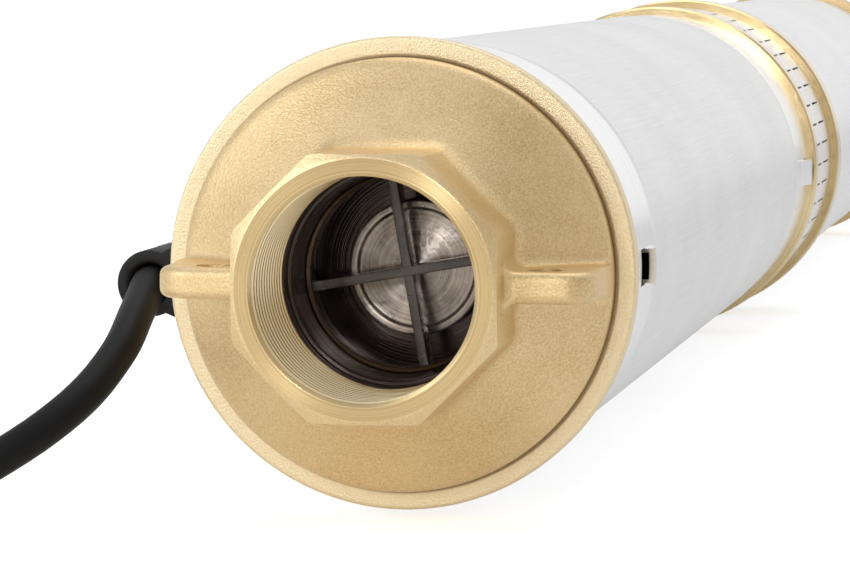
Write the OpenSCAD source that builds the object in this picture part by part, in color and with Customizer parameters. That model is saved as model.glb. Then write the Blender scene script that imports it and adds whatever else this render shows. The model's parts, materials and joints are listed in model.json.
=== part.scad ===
// Borehole submersible pump for a four inch well, lying on its side.
// The origin is the middle of the outlet mouth. +Y runs along the pump to the motor, +Z is up.
// Every sub-part is drawn about the local Z axis, the station along the pump, and laid down at the end.

/* [Outlet head] */
// Major diameter of the outlet thread
outlet_d = 47.8; // [44:0.1:49]
// Depth of the outlet thread
outlet_depth = 30.5; // [24:0.5:33]
// Width of the octagon across its flats
boss_af = 52.9; // [52:0.1:56]
// Diameter of the turned face of the octagon
boss_face_d = 51.4; // [50:0.1:52.5]
// Diameter to which the octagon's corners are turned
boss_corner_d = 56.8; // [56:0.1:57.2]
// Length of the octagon
boss_len = 22; // [18:0.5:24]
// Rise of the cone between the octagon and its shoulder
cone_rise = 13; // [10:0.5:16]
// Diameter of the shoulder
shoulder_d = 88.6; // [84:0.1:92]
// Radius of the shoulder's edge
shoulder_round = 1.1; // [0.6:0.1:1.6]
// Height of the step from the rim to the shoulder
shoulder_step = 5; // [3:0.5:8]
// Diameter of the rim
rim_d = 97; // [95:0.1:100]
// Thickness of the rim
rim_t = 5.5; // [4:0.1:8]
// Length of the spigot inside the sleeve
spigot_len = 16.5; // [14:0.5:18]
// Wall of the spigot
spigot_wall = 4.1; // [3.5:0.1:5]
// Wall of the neck round the check valve
neck_wall = 4; // [3:0.1:5]
// Thickness of a rope lug
lug_t = 6.3; // [5:0.1:9]
// Distance of a lug's front face from the outlet face
lug_front = 9; // [6:0.5:12]
// Radius of a lug's outer corner
lug_corner_r = 7; // [5:0.5:9]
// Radius of a lug's edges
lug_edge = 1.7; // [1:0.1:2]
// Diameter of a rope eye
eye_d = 7; // [5:0.1:8]
// Distance of a rope eye from the pump axis
eye_x = 33.5; // [32.5:0.1:35]
// Station of a rope eye behind the outlet face
eye_y = 16; // [14:0.5:18]

/* [Check valve] */
// Diameter of the bore that holds the check valve
chamber_d = 54; // [52:0.5:56]
// Length of the valve cage
cage_len = 33.5; // [32:0.5:36]
// Inner diameter at the cage lip
cage_lip_d = 44.4; // [43:0.1:46]
// Inner diameter of the cage throat
cage_throat_d = 39.2; // [37:0.1:41]
// Thickness of a cage rib
rib_t = 2; // [1.6:0.1:3]
// Depth of a cage rib
rib_depth = 6; // [5:0.1:8]
// Turn of the ribs, anticlockwise from the outlet side
rib_turn = 10; // [0:1:45]
// Thickness of the valve seat
seat_t = 7; // [6:0.5:9]
// Diameter of the opening in the valve seat
seat_d = 23.6; // [20:0.1:25]
// Diameter of the poppet disc
poppet_d = 28.4; // [27:0.1:31]
// Thickness of the poppet disc
poppet_t = 3; // [2.5:0.1:4]
// Depth of the dish in the poppet's front
dish_depth = 0.9; // [0.5:0.1:1.2]
// Thickness of the poppet's rubber face
poppet_seal_t = 2; // [1.5:0.1:2.5]
// Diameter of the poppet stem
stem_d = 6; // [5:0.1:7]

/* [Sleeve] */
// Outer diameter of the sleeve
sleeve_d = 93.4; // [92:0.1:95]
// Wall of the sleeve
sleeve_wall = 1.5; // [1:0.1:2]
// Length of the sleeve between the rim and the suction bracket
sleeve_len = 408.5; // [380:0.5:450]
// Length of the drawn-in band at each sleeve end
band_len = 41; // [36:0.5:46]
// Depth of the drawn-in band
band_depth = 0.25; // [0.1:0.05:0.4]
// Axial size of a lanced window
window_len = 6.5; // [5:0.1:8]
// Width of a lanced window round the sleeve
window_w = 7.8; // [6:0.1:9]
// Distance of the front window from the front end of the sleeve
window_inset = 18.5; // [18:0.5:22]
// Distance of the rear window from the rear end of the sleeve
rear_window_inset = 9; // [8:0.5:12]
// Height of the raised hood beside a window
lip_h = 2; // [1.6:0.1:2.2]
// Length of the raised hood
lip_run = 10; // [7:0.5:12]

/* [Stages] */
// Number of pump stages
stage_count = 7; // [4:1:7]
// Room between the outlet head and the first stage
carrier_room = 22.8; // [21.5:0.1:30]
// Wall of a diffuser
diffuser_wall = 2.6; // [2:0.1:4]
// Thickness of the diffuser plates
plate_t = 2.5; // [2:0.1:3.5]
// Depth of the return vanes in a diffuser
return_depth = 13; // [10:0.5:15]
// Number of return vanes
return_vanes = 7; // [5:1:9]
// Diameter of an impeller
impeller_d = 72; // [66:0.5:74]
// Width of the impeller passage
passage_w = 10; // [7:0.5:11]
// Thickness of the impeller shrouds
shroud_t = 1.8; // [1.5:0.1:2.5]
// Number of impeller blades
blades = 6; // [5:1:8]
// Thickness of a blade
blade_t = 1.8; // [1.5:0.1:2.5]
// Angle that a blade sweeps back
blade_sweep = 55; // [45:1:65]
// Outer diameter of the impeller neck
neck_d = 33.8; // [32:0.1:36]
// Diameter of an impeller hub
hub_d = 22; // [21:0.1:23]

/* [Shaft and bearings] */
// Width of the hexagonal pump shaft across its flats
shaft_af = 14; // [12:0.1:15]
// Outer diameter of a bearing bush
bush_d = 28; // [27:0.1:30]
// Length of a bearing bush
bush_len = 12; // [10:0.5:14]
// Wall of a bearing hub
hub_wall = 3.5; // [3:0.1:5]
// Width of a bearing arm
arm_w = 5; // [4:0.1:7]
// Outer diameter of the shaft coupling
coupling_d = 27; // [25:0.5:30]
// Length of the shaft coupling
coupling_len = 50; // [46:1:52]

/* [Suction bracket] */
// Diameter of the rear brass ring
ring_d = 100; // [98:0.5:102]
// Diameter of the front brass ring
front_ring_d = 97.4; // [97:0.1:98]
// Width of the front ring
front_ring_w = 8; // [6:0.5:10]
// Length of the suction windows
suction_len = 56; // [54:0.5:60]
// Width of the broken edges on the rings
ring_edge = 0.6; // [0.4:0.1:0.7]
// Width of the rear ring
rear_ring_w = 12; // [11:0.5:14]
// Inner diameter of the bracket tube
bracket_bore = 80; // [78:0.5:82]
// Angle of a bracket pillar
pillar_angle = 24; // [16:1:30]
// Outer diameter of the strainer
strainer_d = 94.8; // [94.5:0.1:95.5]
// Wall of the strainer
strainer_wall = 1; // [0.8:0.1:1.5]
// Number of strainer slots in one row
strainer_slots = 48; // [32:1:56]
// Width of a strainer slot
slot_w = 0.6; // [0.5:0.1:1]
// Diameter of a flange stud
stud_d = 8; // [7:0.1:9]
// Pitch circle diameter of the studs
stud_circle = 76.2; // [74:0.1:78]

/* [Motor] */
// Outer diameter of the motor
motor_d = 94; // [93:0.1:95]
// Wall of the motor shell
shell_wall = 1.5; // [1:0.1:2]
// Length of the motor shell
shell_len = 340; // [310:1:380]
// Width of the visible band of the motor flange
flange_band = 15; // [14:0.5:18]
// Share of the motor shell taken up by the stator core
stator_share = 0.5; // [0.45:0.01:0.52]
// Inner diameter of the stator core
stator_bore = 50; // [46:0.5:52]
// Number of stator slots
stator_slots = 12; // [9:1:18]
// Length of a winding head
winding_head = 18; // [14:0.5:19]
// Diameter of the motor shaft
motor_shaft_d = 17; // [16:0.1:18]
// Outer diameter of the motor bearings
bearing_d = 40; // [38:0.5:42]
// Width of the motor bearings
bearing_w = 12; // [10:0.5:13]
// Number of balls in a bearing
bearing_balls = 8; // [6:1:9]
// Diameter of the thrust runner
runner_d = 52; // [46:0.5:56]
// Number of thrust pads
thrust_pad_count = 6; // [4:1:8]
// Outer diameter of the base cap
base_d = 100; // [98:0.5:102]
// Length of the base cap behind the shell
base_len = 30; // [24:1:36]

/* [Cable] */
// Diameter of the supply cable
cable_d = 7.4; // [7:0.1:7.8]
// Gap between the held cable and the suction section
cable_clear = 1.6; // [1.2:0.1:2.4]
// Angle of the held cable below the horizontal
cable_drop = 3.63; // [2:0.01:6]
// Length of the cable holder
holder_len = 25; // [20:0.5:26]
// Outer diameter of the holder's ring
holder_d = 14; // [12.5:0.1:15]
// Width of the holder's saddle
saddle_w = 19; // [16:0.5:22]
// Wall of the cable guard
guard_wall = 1; // [0.8:0.1:1.5]
// Width of the cable guard over its feet
guard_w = 32; // [28:0.5:36]
// Diameter across the middle of the coil's turns
coil_d = 81.4; // [80:0.1:84]

/* [Fits] */
// Radial clearance of spigots in tubes
spigot_fit = 0.1; // [0.05:0.01:0.15]
// Radial clearance of shafts in bores
shaft_fit = 0.05; // [0.03:0.01:0.08]
// Clearance between parts that run past each other
run_gap = 0.3; // [0.25:0.05:0.5]

/* [Hidden] */
$fn = 96;
through = 1;
hood_start = 0.5;
outlet_r = outlet_d / 2;
cone_top_r = boss_af / 2;
shoulder_r = shoulder_d / 2;
rim_r = rim_d / 2;
ring_r = ring_d / 2;
front_ring_r = front_ring_d / 2;
base_r = base_d / 2;
sleeve_r = sleeve_d / 2;
sleeve_bore_r = sleeve_r - sleeve_wall;
spigot_r = sleeve_bore_r - spigot_fit;
bracket_bore_r = bracket_bore / 2;
motor_r = motor_d / 2;
shell_bore_r = motor_r - shell_wall;
motor_fit_r = shell_bore_r - spigot_fit;
stator_bore_r = stator_bore / 2;
motor_shaft_r = motor_shaft_d / 2;
motor_bore_r = motor_shaft_r + shaft_fit;
hex_r = shaft_af / 2 / cos(30);
hex_bore_r = hex_r + shaft_fit / cos(30);
bush_bore_r = hub_d / 2 + shaft_fit;
cable_r = cable_d / 2;
cable_line_r = max(ring_d, strainer_d) / 2 + cable_clear + cable_r;
face_chamfer_angle = 30;
shoulder_start = 2 * shoulder_round / (shoulder_r - cone_top_r);

// Stations along the pump, from the outlet face
shoulder_s = boss_len + cone_rise;
rim_s = shoulder_s + shoulder_step;
sleeve_s = rim_s + rim_t;
spigot_end = sleeve_s + spigot_len;
pocket_inset = 4.5;
pocket_s = sleeve_s + pocket_inset;
oring_inset = 5;
oring_s = sleeve_s + oring_inset;
oring_seat = 2.2;
oring_w = 3.4;
cage_end = outlet_depth + cage_len;
seat_end = cage_end + seat_t;
circlip_t = 1.2;
neck_over = 3;
neck_end = seat_end + circlip_t + neck_over;
bracket_s = sleeve_s + sleeve_len;
bracket_spigot = 34;
stack_end = bracket_s - bracket_spigot;
stack_s = neck_end + carrier_room;
stage_pitch = (stack_end - stack_s) / stage_count;
window_end = bracket_s + front_ring_w + suction_len;
flange_s = window_end + rear_ring_w;
shell_s = flange_s + flange_band;
shell_end = shell_s + shell_len;
base_end = shell_end + base_len;

// Valve stations
rib_inset = 10.4;
rib_back = cage_end - rib_inset;
rib_front = rib_back - rib_depth;
seal_s = cage_end - run_gap - poppet_seal_t;
poppet_s = seal_s - poppet_t;
stem_over = 3;
stem_end = seat_end + stem_over;

// Shaft stations
carrier_hub_gap = 6;
carrier_hub_s = stack_s - carrier_hub_gap - bush_len;
lower_hub_gap = 14;
lower_hub_s = stack_end + lower_hub_gap;
hub_lead = 2;
hub_start = stack_s + hub_lead;
hub_stack_end = hub_start + stage_count * stage_pitch;
shaft_over = 2;
pump_shaft_s = carrier_hub_s - shaft_over;
motor_shaft_rise = 40;
motor_shaft_s = flange_s - motor_shaft_rise;
shaft_gap = run_gap;
coupling_s = motor_shaft_s - coupling_len / 2;

// Motor stations
register_t = 3;
stud_reach = 12;
register_r = bracket_bore_r;
seal_bore_r = 14;
flange_spigot = 20;
bearing_inset = 2;
upper_bearing_s = shell_s + flange_spigot - bearing_w - bearing_inset;
stator_inset = 40;
stator_s = shell_s + stator_inset;
stator_len = stator_share * shell_len;
stator_end = stator_s + stator_len;
shield_gap = 5;
lower_shield_s = stator_end + winding_head + shield_gap;
lower_shield_t = 20;
runner_gap = 2;
runner_s = lower_shield_s + lower_shield_t + runner_gap;
runner_t = 6;
pad_s = runner_s + runner_t + run_gap;
pad_t = 4;
carrier_t = 14;
motor_shaft_end = pad_s + pad_t + carrier_t / 2;
base_spigot = 15;
diaphragm_t = 2;
diaphragm_flange_s = shell_end - base_spigot - 2 * diaphragm_t;
carrier_end = pad_s + pad_t + carrier_t;
diaphragm_room = 12;
diaphragm_s = carrier_end + diaphragm_room;

// Stator slots and motor bearings
slot_half = 2.5;
slot_depth = 13;
slot_floor_r = stator_bore_r + slot_depth;
slot_bridge = 1.5;
slot_mouth_r = stator_bore_r + slot_bridge;
race_t = 3.2;
ball_gap = 0.1;
ball_r = (bearing_d / 2 - motor_bore_r - 2 * race_t) / 2 - ball_gap;
ball_track_r = (bearing_d / 2 + motor_bore_r) / 2;

// Cable line
cable_angle = 180 - cable_drop;
holder_gap = 3.5;
holder_s = sleeve_s + holder_gap;
lead_inset = 6;
lead_s = holder_s + lead_inset;
guard_gap = 4;
guard_s = holder_s + holder_len + guard_gap;
guard_inset = 1;
guard_end = flange_s + flange_band - guard_inset;
gland_s = guard_end + guard_gap;
gland_len = 26;
gland_bore = 8;
lead_end = gland_s + gland_bore;
guard_side_gap = 1.5;
guard_in_half = cable_r + guard_side_gap;
guard_top_gap = 0.6;
guard_top_r = cable_line_r + cable_r + guard_top_gap;
guard_screw_inset = [10, 12];
guard_screw_stations = [guard_s + guard_screw_inset[0], bracket_s - guard_screw_inset[1]];
screw_head_d = 7;
screw_d = 3.5;

// Loose cable: steps from the holder along X and Y, and the share of the drop to the floor
floor_z = -max(ring_d, base_d) / 2;
lead_start = [-cable_line_r * cos(cable_drop), lead_s, -cable_line_r * sin(cable_drop)];
lead_drop = lead_start[2] - floor_z - cable_r;
loose_steps = [
    [0, 0, 0], [0.2, -7, 0.002], [1.3, -15, 0.042], [2, -25, 0.117], [2.2, -35, 0.222],
    [1, -43, 0.32], [-1, -50.5, 0.414], [-4.8, -58, 0.516], [-11.3, -65, 0.638],
    [-20.8, -72, 0.773], [-32.8, -77.5, 0.895], [-44.8, -80.8, 0.974], [-57.3, -82.1, 1]
];
cable_route = [for (p = loose_steps) lead_start + [p[0], p[1], -p[2] * lead_drop]];
coil_columns = 3;
coil_layers = 2;
coil_in_r = coil_d / 2 - coil_columns * cable_r;
coil_out_r = coil_d / 2 + coil_columns * cable_r;
coil_h = coil_layers * cable_d;
coil_reach = 27.5;
coil_x = cable_route[len(cable_route) - 1][0] - coil_reach;
coil_y = cable_route[len(cable_route) - 1][1] + coil_out_r - cable_r;
tail_angle = 60;
tail_start = 100;
core_angle = 26;
core_r = 1.4;
core_offset = 1.8;
route_sides = 10;

stages = [for (i = [1:stage_count]) i];

// Lays a sub-part drawn about Z along the pump axis
module along_pump() { rotate([-90, 0, 0]) children(); }

// Turns a sub-part so that its X axis points at the held cable
module at_cable() { rotate([0, 0, cable_angle]) children(); }

// Tube from station s0 to s1
module tube(r_in, r_out, s0, s1) {
    translate([0, 0, s0]) linear_extrude(s1 - s0) difference() {
        circle(r_out);
        circle(r_in);
    }
}

// Plain round solid from station s0 to s1
module rod(r, s0, s1) { translate([0, 0, s0]) cylinder(r = r, h = s1 - s0); }

// Hexagonal solid from station s0 to s1
module hex_rod(r, s0, s1) { translate([0, 0, s0]) cylinder(r = r, h = s1 - s0, $fn = 6); }

// Copies the children n times round the pump axis
module ring_of(n, first = 0) {
    for (i = [0:n - 1]) rotate([0, 0, first + i * 360 / n]) children();
}

// Sector of a tube, centred on the X axis
module sector(r_in, r_out, s0, s1, angle) {
    rotate([0, 0, -angle / 2]) rotate_extrude(angle = angle)
        translate([r_in, s0]) square([r_out - r_in, s1 - s0]);
}

// Centre of the arc that a blade follows from r_in to r_out
function blade_tip(r_out, sweep) = [r_out * cos(sweep), -r_out * sin(sweep)];
function blade_arc_r(r_in, r_out, sweep) = 0.87 * norm(blade_tip(r_out, sweep) - [r_in, 0]);
function blade_centre(r_in, r_out, sweep) =
    let (root = [r_in, 0], tip = blade_tip(r_out, sweep), chord = tip - root,
         side = [chord[1], -chord[0]] / norm(chord),
         arc_r = blade_arc_r(r_in, r_out, sweep))
    (root + tip) / 2 + side * sqrt(arc_r * arc_r - chord * chord / 4);

// Outline of one blade, an arc of even thickness
module blade_outline(r_in, r_out, sweep, t) {
    arc_r = blade_arc_r(r_in, r_out, sweep);
    intersection() {
        difference() {
            circle(r_out);
            circle(r_in);
        }
        translate(blade_centre(r_in, r_out, sweep)) difference() {
            circle(arc_r + t / 2);
            circle(arc_r - t / 2);
        }
        translate([0, -r_out]) square(2 * r_out);
    }
}

// Bearing hub on four arms inside a tube
module spider(r_tube, s0, s1) {
    difference() {
        union() {
            rod(bush_d / 2 + hub_wall, s0, s1);
            ring_of(4, 45) translate([0, -arm_w / 2, s0])
                cube([r_tube, arm_w, s1 - s0]);
        }
        rod(bush_d / 2 + shaft_fit, s0 - through, s1 + through);
    }
}

// Points of an arc of radius r about c, from angle a to angle b
function arc_points(c, r, a, b, steps = 5) =
    [for (i = [0:steps]) let (t = a + (b - a) * i / steps) c + r * [cos(t), sin(t)]];

// Rope lug in the plane of the pump axis: its side, its section across and its plan, all with round edges
module rope_lug() {
    corner_x = shoulder_r - lug_corner_r;
    half = lug_t / 2;
    flat = half - lug_edge;
    intersection() {
        rotate([90, 0, 0]) linear_extrude(lug_t + through, center = true) difference() {
            polygon(concat([[outlet_r, rim_s], [outlet_r, lug_front]],
                           arc_points([corner_x, lug_front + lug_corner_r], lug_corner_r, -90, 0, 9),
                           [[shoulder_r, rim_s]]));
            translate([eye_x, eye_y]) circle(eye_d / 2);
        }
        rotate([90, 0, 90]) linear_extrude(shoulder_r + through) polygon(concat(
            [[half, rim_s + through], [-half, rim_s + through]],
            arc_points([-flat, lug_front + lug_edge], lug_edge, 180, 270),
            arc_points([flat, lug_front + lug_edge], lug_edge, 270, 360)));
        translate([0, 0, lug_front - through]) linear_extrude(rim_s - lug_front + 2 * through) polygon(concat(
            [[0, half], [0, -half]],
            arc_points([shoulder_r - lug_edge, -flat], lug_edge, -90, 0),
            arc_points([shoulder_r - lug_edge, flat], lug_edge, 0, 90)));
    }
}

// Octagon with a turned front face and turned corners
module octagon_boss() {
    corner_r = boss_af / 2 / cos(22.5);
    turned_r = boss_corner_d / 2;
    chamfer_h = (turned_r - boss_face_d / 2) * tan(face_chamfer_angle);
    intersection() {
        rotate([0, 0, 22.5]) cylinder(r = corner_r, h = boss_len + 1, $fn = 8);
        rotate_extrude() polygon([[0, 0], [boss_face_d / 2, 0], [turned_r, chamfer_h],
                                  [turned_r, boss_len + 1], [0, boss_len + 1]]);
    }
}

// Outline of the cone, which steepens a little towards the octagon, and of the rounded shoulder
function cone_point(q) =
    [shoulder_r - q * (shoulder_r - cone_top_r), shoulder_s - cone_rise * (0.8 * q + 0.2 * q * q)];
function shoulder_point(f) =
    let (a = cone_point(shoulder_start), b = [shoulder_r, shoulder_s], c = b + [0, shoulder_round])
    (1 - f) * (1 - f) * a + 2 * f * (1 - f) * b + f * f * c;

module discharge_head() {
    rim_edge = 0.6;
    cone_steps = 6;
    shoulder_steps = 4;
    color("#d8b679") difference() {
        union() {
            octagon_boss();
            rope_lug();
            mirror([1, 0, 0]) rope_lug();
            rotate_extrude() polygon(concat(
                [[0, boss_len]],
                [for (i = [0:cone_steps - 1]) cone_point(1 - (1 - shoulder_start) * i / cone_steps)],
                [for (i = [0:shoulder_steps]) shoulder_point(i / shoulder_steps)],
                [[shoulder_r, rim_s], [rim_r - rim_edge, rim_s], [rim_r, rim_s + rim_edge],
                 [rim_r, sleeve_s - rim_edge], [rim_r - rim_edge, sleeve_s], [spigot_r, sleeve_s],
                 [spigot_r, spigot_end], [spigot_r - spigot_wall, spigot_end],
                 [spigot_r - spigot_wall, pocket_s], [chamber_d / 2 + neck_wall, pocket_s],
                 [chamber_d / 2 + neck_wall, neck_end], [0, neck_end]]));
        }
        rod(outlet_r, -through, outlet_depth + through);
        rod(chamber_d / 2, outlet_depth, neck_end + through);
        tube(chamber_d / 2 - through, chamber_d / 2 + 1.2, seat_end, seat_end + circlip_t + 0.1);
        tube(spigot_r - oring_seat, spigot_r + through, oring_s, oring_s + oring_w);
    }
}

module head_oring() {
    oring_r = (oring_seat + spigot_fit) / 2 - 0.05;
    color("#262626") rotate_extrude()
        translate([spigot_r - oring_seat + 0.05 + oring_r, oring_s + oring_w / 2]) circle(oring_r);
}

module valve_cage() {
    outer_r = chamber_d / 2 - spigot_fit;
    lip_s = outlet_depth + 3;
    wall_r = chamber_d / 2 - 4.5;
    color("#2b211c") {
        rotate_extrude() polygon([
            [cage_lip_d / 2, outlet_depth], [cage_lip_d / 2, lip_s], [cage_lip_d / 2 - 0.8, lip_s],
            [cage_throat_d / 2, rib_front - 0.6], [cage_throat_d / 2, rib_front + 0.9],
            [wall_r, rib_front + 2.4], [wall_r, cage_end], [outer_r, cage_end],
            [outer_r, outlet_depth]]);
        for (turn = [0, 90]) rotate([0, 0, turn - rib_turn])
            translate([-wall_r - 1, -rib_t / 2, rib_front]) cube([2 * wall_r + 2, rib_t, rib_depth]);
    }
}

module valve_seat() {
    guide_r = stem_d / 2 + 2.5;
    guide_s = seat_end - 5;
    color("#2f2a28") difference() {
        union() {
            tube(seat_d / 2, chamber_d / 2 - spigot_fit, cage_end, seat_end);
            rod(guide_r, guide_s, seat_end);
            ring_of(3) translate([0, -1, guide_s]) cube([seat_d / 2 + 1, 2, seat_end - guide_s]);
        }
        rod(stem_d / 2 + shaft_fit, guide_s - through, seat_end + through);
    }
}

module valve_circlip() {
    color("#b9bcbf") difference() {
        tube(chamber_d / 2 - 3, chamber_d / 2 + 1, seat_end, seat_end + circlip_t);
        translate([0, -2.5, seat_end - through])
            cube([chamber_d, 5, circlip_t + 2 * through]);
    }
}

module valve_poppet() {
    bead_h = 1;
    bead_w = 1.6;
    bead_r = poppet_d / 2 - bead_w;
    bead_s = poppet_s - bead_h;
    dish_r = bead_r - dish_depth;
    color("#2b211c") rotate_extrude() polygon([
        [0, poppet_s + dish_depth], [dish_r / 2, poppet_s + dish_depth / 2], [dish_r, poppet_s],
        [bead_r, poppet_s], [bead_r, bead_s], [poppet_d / 2, bead_s], [poppet_d / 2, seal_s],
        [stem_d / 2, seal_s], [stem_d / 2, stem_end], [0, stem_end]]);
}

module valve_seal() {
    color("#1d1d1d") tube(stem_d / 2 + shaft_fit, poppet_d / 2 - 0.4, seal_s, seal_s + poppet_seal_t);
}

// Lanced window on the X axis of the sleeve, and the raised hood that leads out of it
module window_cut(s0) {
    sector(sleeve_bore_r - through, sleeve_r + lip_h + through, s0, s0 + window_len,
           window_w / sleeve_r * 180 / PI);
}

// Wedge whose top falls from r_top at s0 to r_low, drawn a little ahead of s0
module hood(s0, toward, width, r_top, r_low) {
    angle = width / sleeve_r * 180 / PI;
    fall = (r_top - r_low) * lip_run / lip_h;
    rotate([0, 0, -angle / 2]) rotate_extrude(angle = angle)
        polygon([[r_low, s0 - toward * hood_start], [r_top, s0 - toward * hood_start],
                 [r_top, s0], [r_low, s0 + toward * fall]]);
}

module pump_sleeve() {
    front_s = sleeve_s + window_inset;
    rear_s = bracket_s - rear_window_inset - window_len;
    band_step = 1;
    band_r = sleeve_r - band_depth;
    hood_w = window_w - 2 * run_gap;
    hood_space_w = hood_w - sleeve_wall;
    color("#dcdddd") difference() {
        union() {
            rotate_extrude() polygon([
                [sleeve_bore_r, sleeve_s], [band_r, sleeve_s], [band_r, sleeve_s + band_len],
                [sleeve_r, sleeve_s + band_len + band_step], [sleeve_r, bracket_s - band_len - band_step],
                [band_r, bracket_s - band_len], [band_r, bracket_s], [sleeve_bore_r, bracket_s]]);
            hood(front_s + window_len, 1, hood_w, sleeve_r + lip_h, sleeve_bore_r + sleeve_wall / 3);
            hood(rear_s, -1, hood_w, sleeve_r + lip_h, sleeve_bore_r + sleeve_wall / 3);
        }
        for (side = [0, 180]) rotate([0, 0, side]) {
            window_cut(front_s);
            window_cut(rear_s);
        }
        hood(front_s + window_len, 1, hood_space_w, sleeve_r + lip_h - sleeve_wall, sleeve_bore_r - through);
        hood(rear_s, -1, hood_space_w, sleeve_r + lip_h - sleeve_wall, sleeve_bore_r - through);
        guard_screw_places() rod(screw_d / 2 + shaft_fit, sleeve_bore_r - 1, sleeve_r + 1);
    }
}

module upper_bearing_carrier() {
    ring_bore_r = spigot_r - 3;
    color("#2c2c2e") {
        tube(ring_bore_r, spigot_r, spigot_end, stack_s);
        spider(ring_bore_r + 1, carrier_hub_s, carrier_hub_s + bush_len);
    }
}

module bush(s0) { color("#39322c") tube(bush_bore_r, bush_d / 2, s0, s0 + bush_len); }

module shaft_sleeve(s0, s1) {
    color("#c3c7ca") difference() {
        rod(hub_d / 2, s0, s1);
        hex_rod(hex_bore_r, s0 - through, s1 + through);
    }
}

// Stationary bowl of one stage: eye plate, return vanes, dividing plate and wall
module diffuser(i) {
    return_sweep = 48;
    vane_gap = 4;
    overlap = 0.5;
    s0 = stack_s + (i - 1) * stage_pitch;
    vane_s = s0 + plate_t;
    divider_s = vane_s + return_depth;
    bowl_r = spigot_r - diffuser_wall;
    eye_r = neck_d / 2 + run_gap;
    color("#333437") {
        tube(bowl_r, spigot_r, s0, s0 + stage_pitch);
        tube(eye_r, bowl_r + overlap, s0, vane_s);
        translate([0, 0, vane_s - overlap]) linear_extrude(return_depth + 2 * overlap)
            ring_of(return_vanes) mirror([0, 1])
                blade_outline(hub_d / 2 + vane_gap, bowl_r + overlap, return_sweep, blade_t);
        tube(hub_d / 2 + run_gap, bowl_r - vane_gap, divider_s, divider_s + plate_t);
    }
}

// Closed impeller: hub, two shrouds, swept blades and the neck that runs in the next eye
module impeller(i) {
    s0 = stack_s + (i - 1) * stage_pitch;
    back_s = s0 + plate_t + return_depth + plate_t + 0.8;
    passage_s = back_s + shroud_t;
    front_s = passage_s + passage_w;
    neck_end_s = s0 + stage_pitch + plate_t - 0.5;
    neck_bore_r = neck_d / 2 - shroud_t;
    color("#e3dccb") difference() {
        union() {
            rod(hub_d / 2, hub_start + (i - 1) * stage_pitch, hub_start + i * stage_pitch);
            rod(impeller_d / 2, back_s, passage_s);
            translate([0, 0, passage_s - 0.2]) linear_extrude(passage_w + 0.4)
                ring_of(blades) blade_outline(neck_bore_r, impeller_d / 2, blade_sweep, blade_t);
            tube(neck_bore_r, impeller_d / 2, front_s, front_s + shroud_t);
            tube(neck_bore_r, neck_d / 2, front_s, neck_end_s);
        }
        hex_rod(hex_bore_r, s0 - stage_pitch, s0 + 2 * stage_pitch);
    }
}

module pump_shaft() { color("#c9cccf") hex_rod(hex_r, pump_shaft_s, motor_shaft_s - shaft_gap); }

// Brass casting with the suction windows, between the sleeve and the motor
module suction_bracket() {
    front_ring_end = bracket_s + front_ring_w;
    seat_r = strainer_d / 2 - strainer_wall - spigot_fit;
    eye_r = neck_d / 2 + run_gap;
    eye_end = stack_end + 2 * plate_t;
    register_s = flange_s - register_t;
    shaft_hole_r = coupling_d;
    relief = 0.5;
    color("#d8b679") difference() {
        union() {
            rotate_extrude() polygon([
                [eye_r, stack_end], [spigot_r, stack_end], [spigot_r, bracket_s],
                [front_ring_r - ring_edge, bracket_s], [front_ring_r, bracket_s + ring_edge],
                [front_ring_r, front_ring_end - ring_edge], [front_ring_r - ring_edge, front_ring_end],
                [seat_r, front_ring_end], [seat_r, window_end],
                [ring_r - ring_edge, window_end], [ring_r, window_end + ring_edge],
                [ring_r, flange_s - ring_edge], [ring_r - ring_edge, flange_s],
                [register_r + shaft_fit, flange_s],
                [register_r + shaft_fit, register_s], [shaft_hole_r, register_s],
                [shaft_hole_r, window_end], [bracket_bore_r, window_end], [bracket_bore_r, eye_end],
                [eye_r, eye_end]]);
            spider(bracket_bore_r + 1, lower_hub_s, lower_hub_s + bush_len);
        }
        ring_of(4, 45) sector(bracket_bore_r - 1, seat_r + relief, front_ring_end - relief,
                              window_end + relief, 90 - pillar_angle);
        ring_of(4, 45) translate([stud_circle / 2, 0])
            rod(stud_d / 2 + shaft_fit, window_end - through, flange_s + through);
    }
}

module suction_strainer() {
    s0 = bracket_s + front_ring_w;
    row_gap = 6;
    slot_len = (suction_len - 3 * row_gap) / 2;
    color("#d5d7d8") difference() {
        tube(strainer_d / 2 - strainer_wall, strainer_d / 2, s0 + 0.1, window_end - 0.1);
        for (row = [0, 1]) ring_of(strainer_slots)
            translate([strainer_d / 2 - 3, -slot_w / 2, s0 + row_gap + row * (slot_len + row_gap)])
                cube([6, slot_w, slot_len]);
    }
}

module shaft_coupling() {
    color("#b4b8bb") difference() {
        rod(coupling_d / 2, coupling_s, coupling_s + coupling_len);
        hex_rod(hex_bore_r, coupling_s - through, motor_shaft_s);
        rod(motor_bore_r, motor_shaft_s - shaft_gap, coupling_s + coupling_len + through);
    }
}

module flange_studs() {
    nut_h = 6.5;
    nut_af = 13;
    nut_r = nut_af / 2 / cos(30);
    stud_over = 4;
    color("#b4b8bb") ring_of(4, 45) translate([stud_circle / 2, 0]) {
        rod(stud_d / 2, window_end - nut_h - stud_over, flange_s + stud_reach);
        hex_rod(nut_r, window_end - nut_h, window_end);
    }
}

module sand_slinger() {
    slinger_r = 18;
    slinger_t = 6;
    color("#222222") tube(motor_bore_r, slinger_r, flange_s - 2 * slinger_t, flange_s - slinger_t);
}

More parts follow.
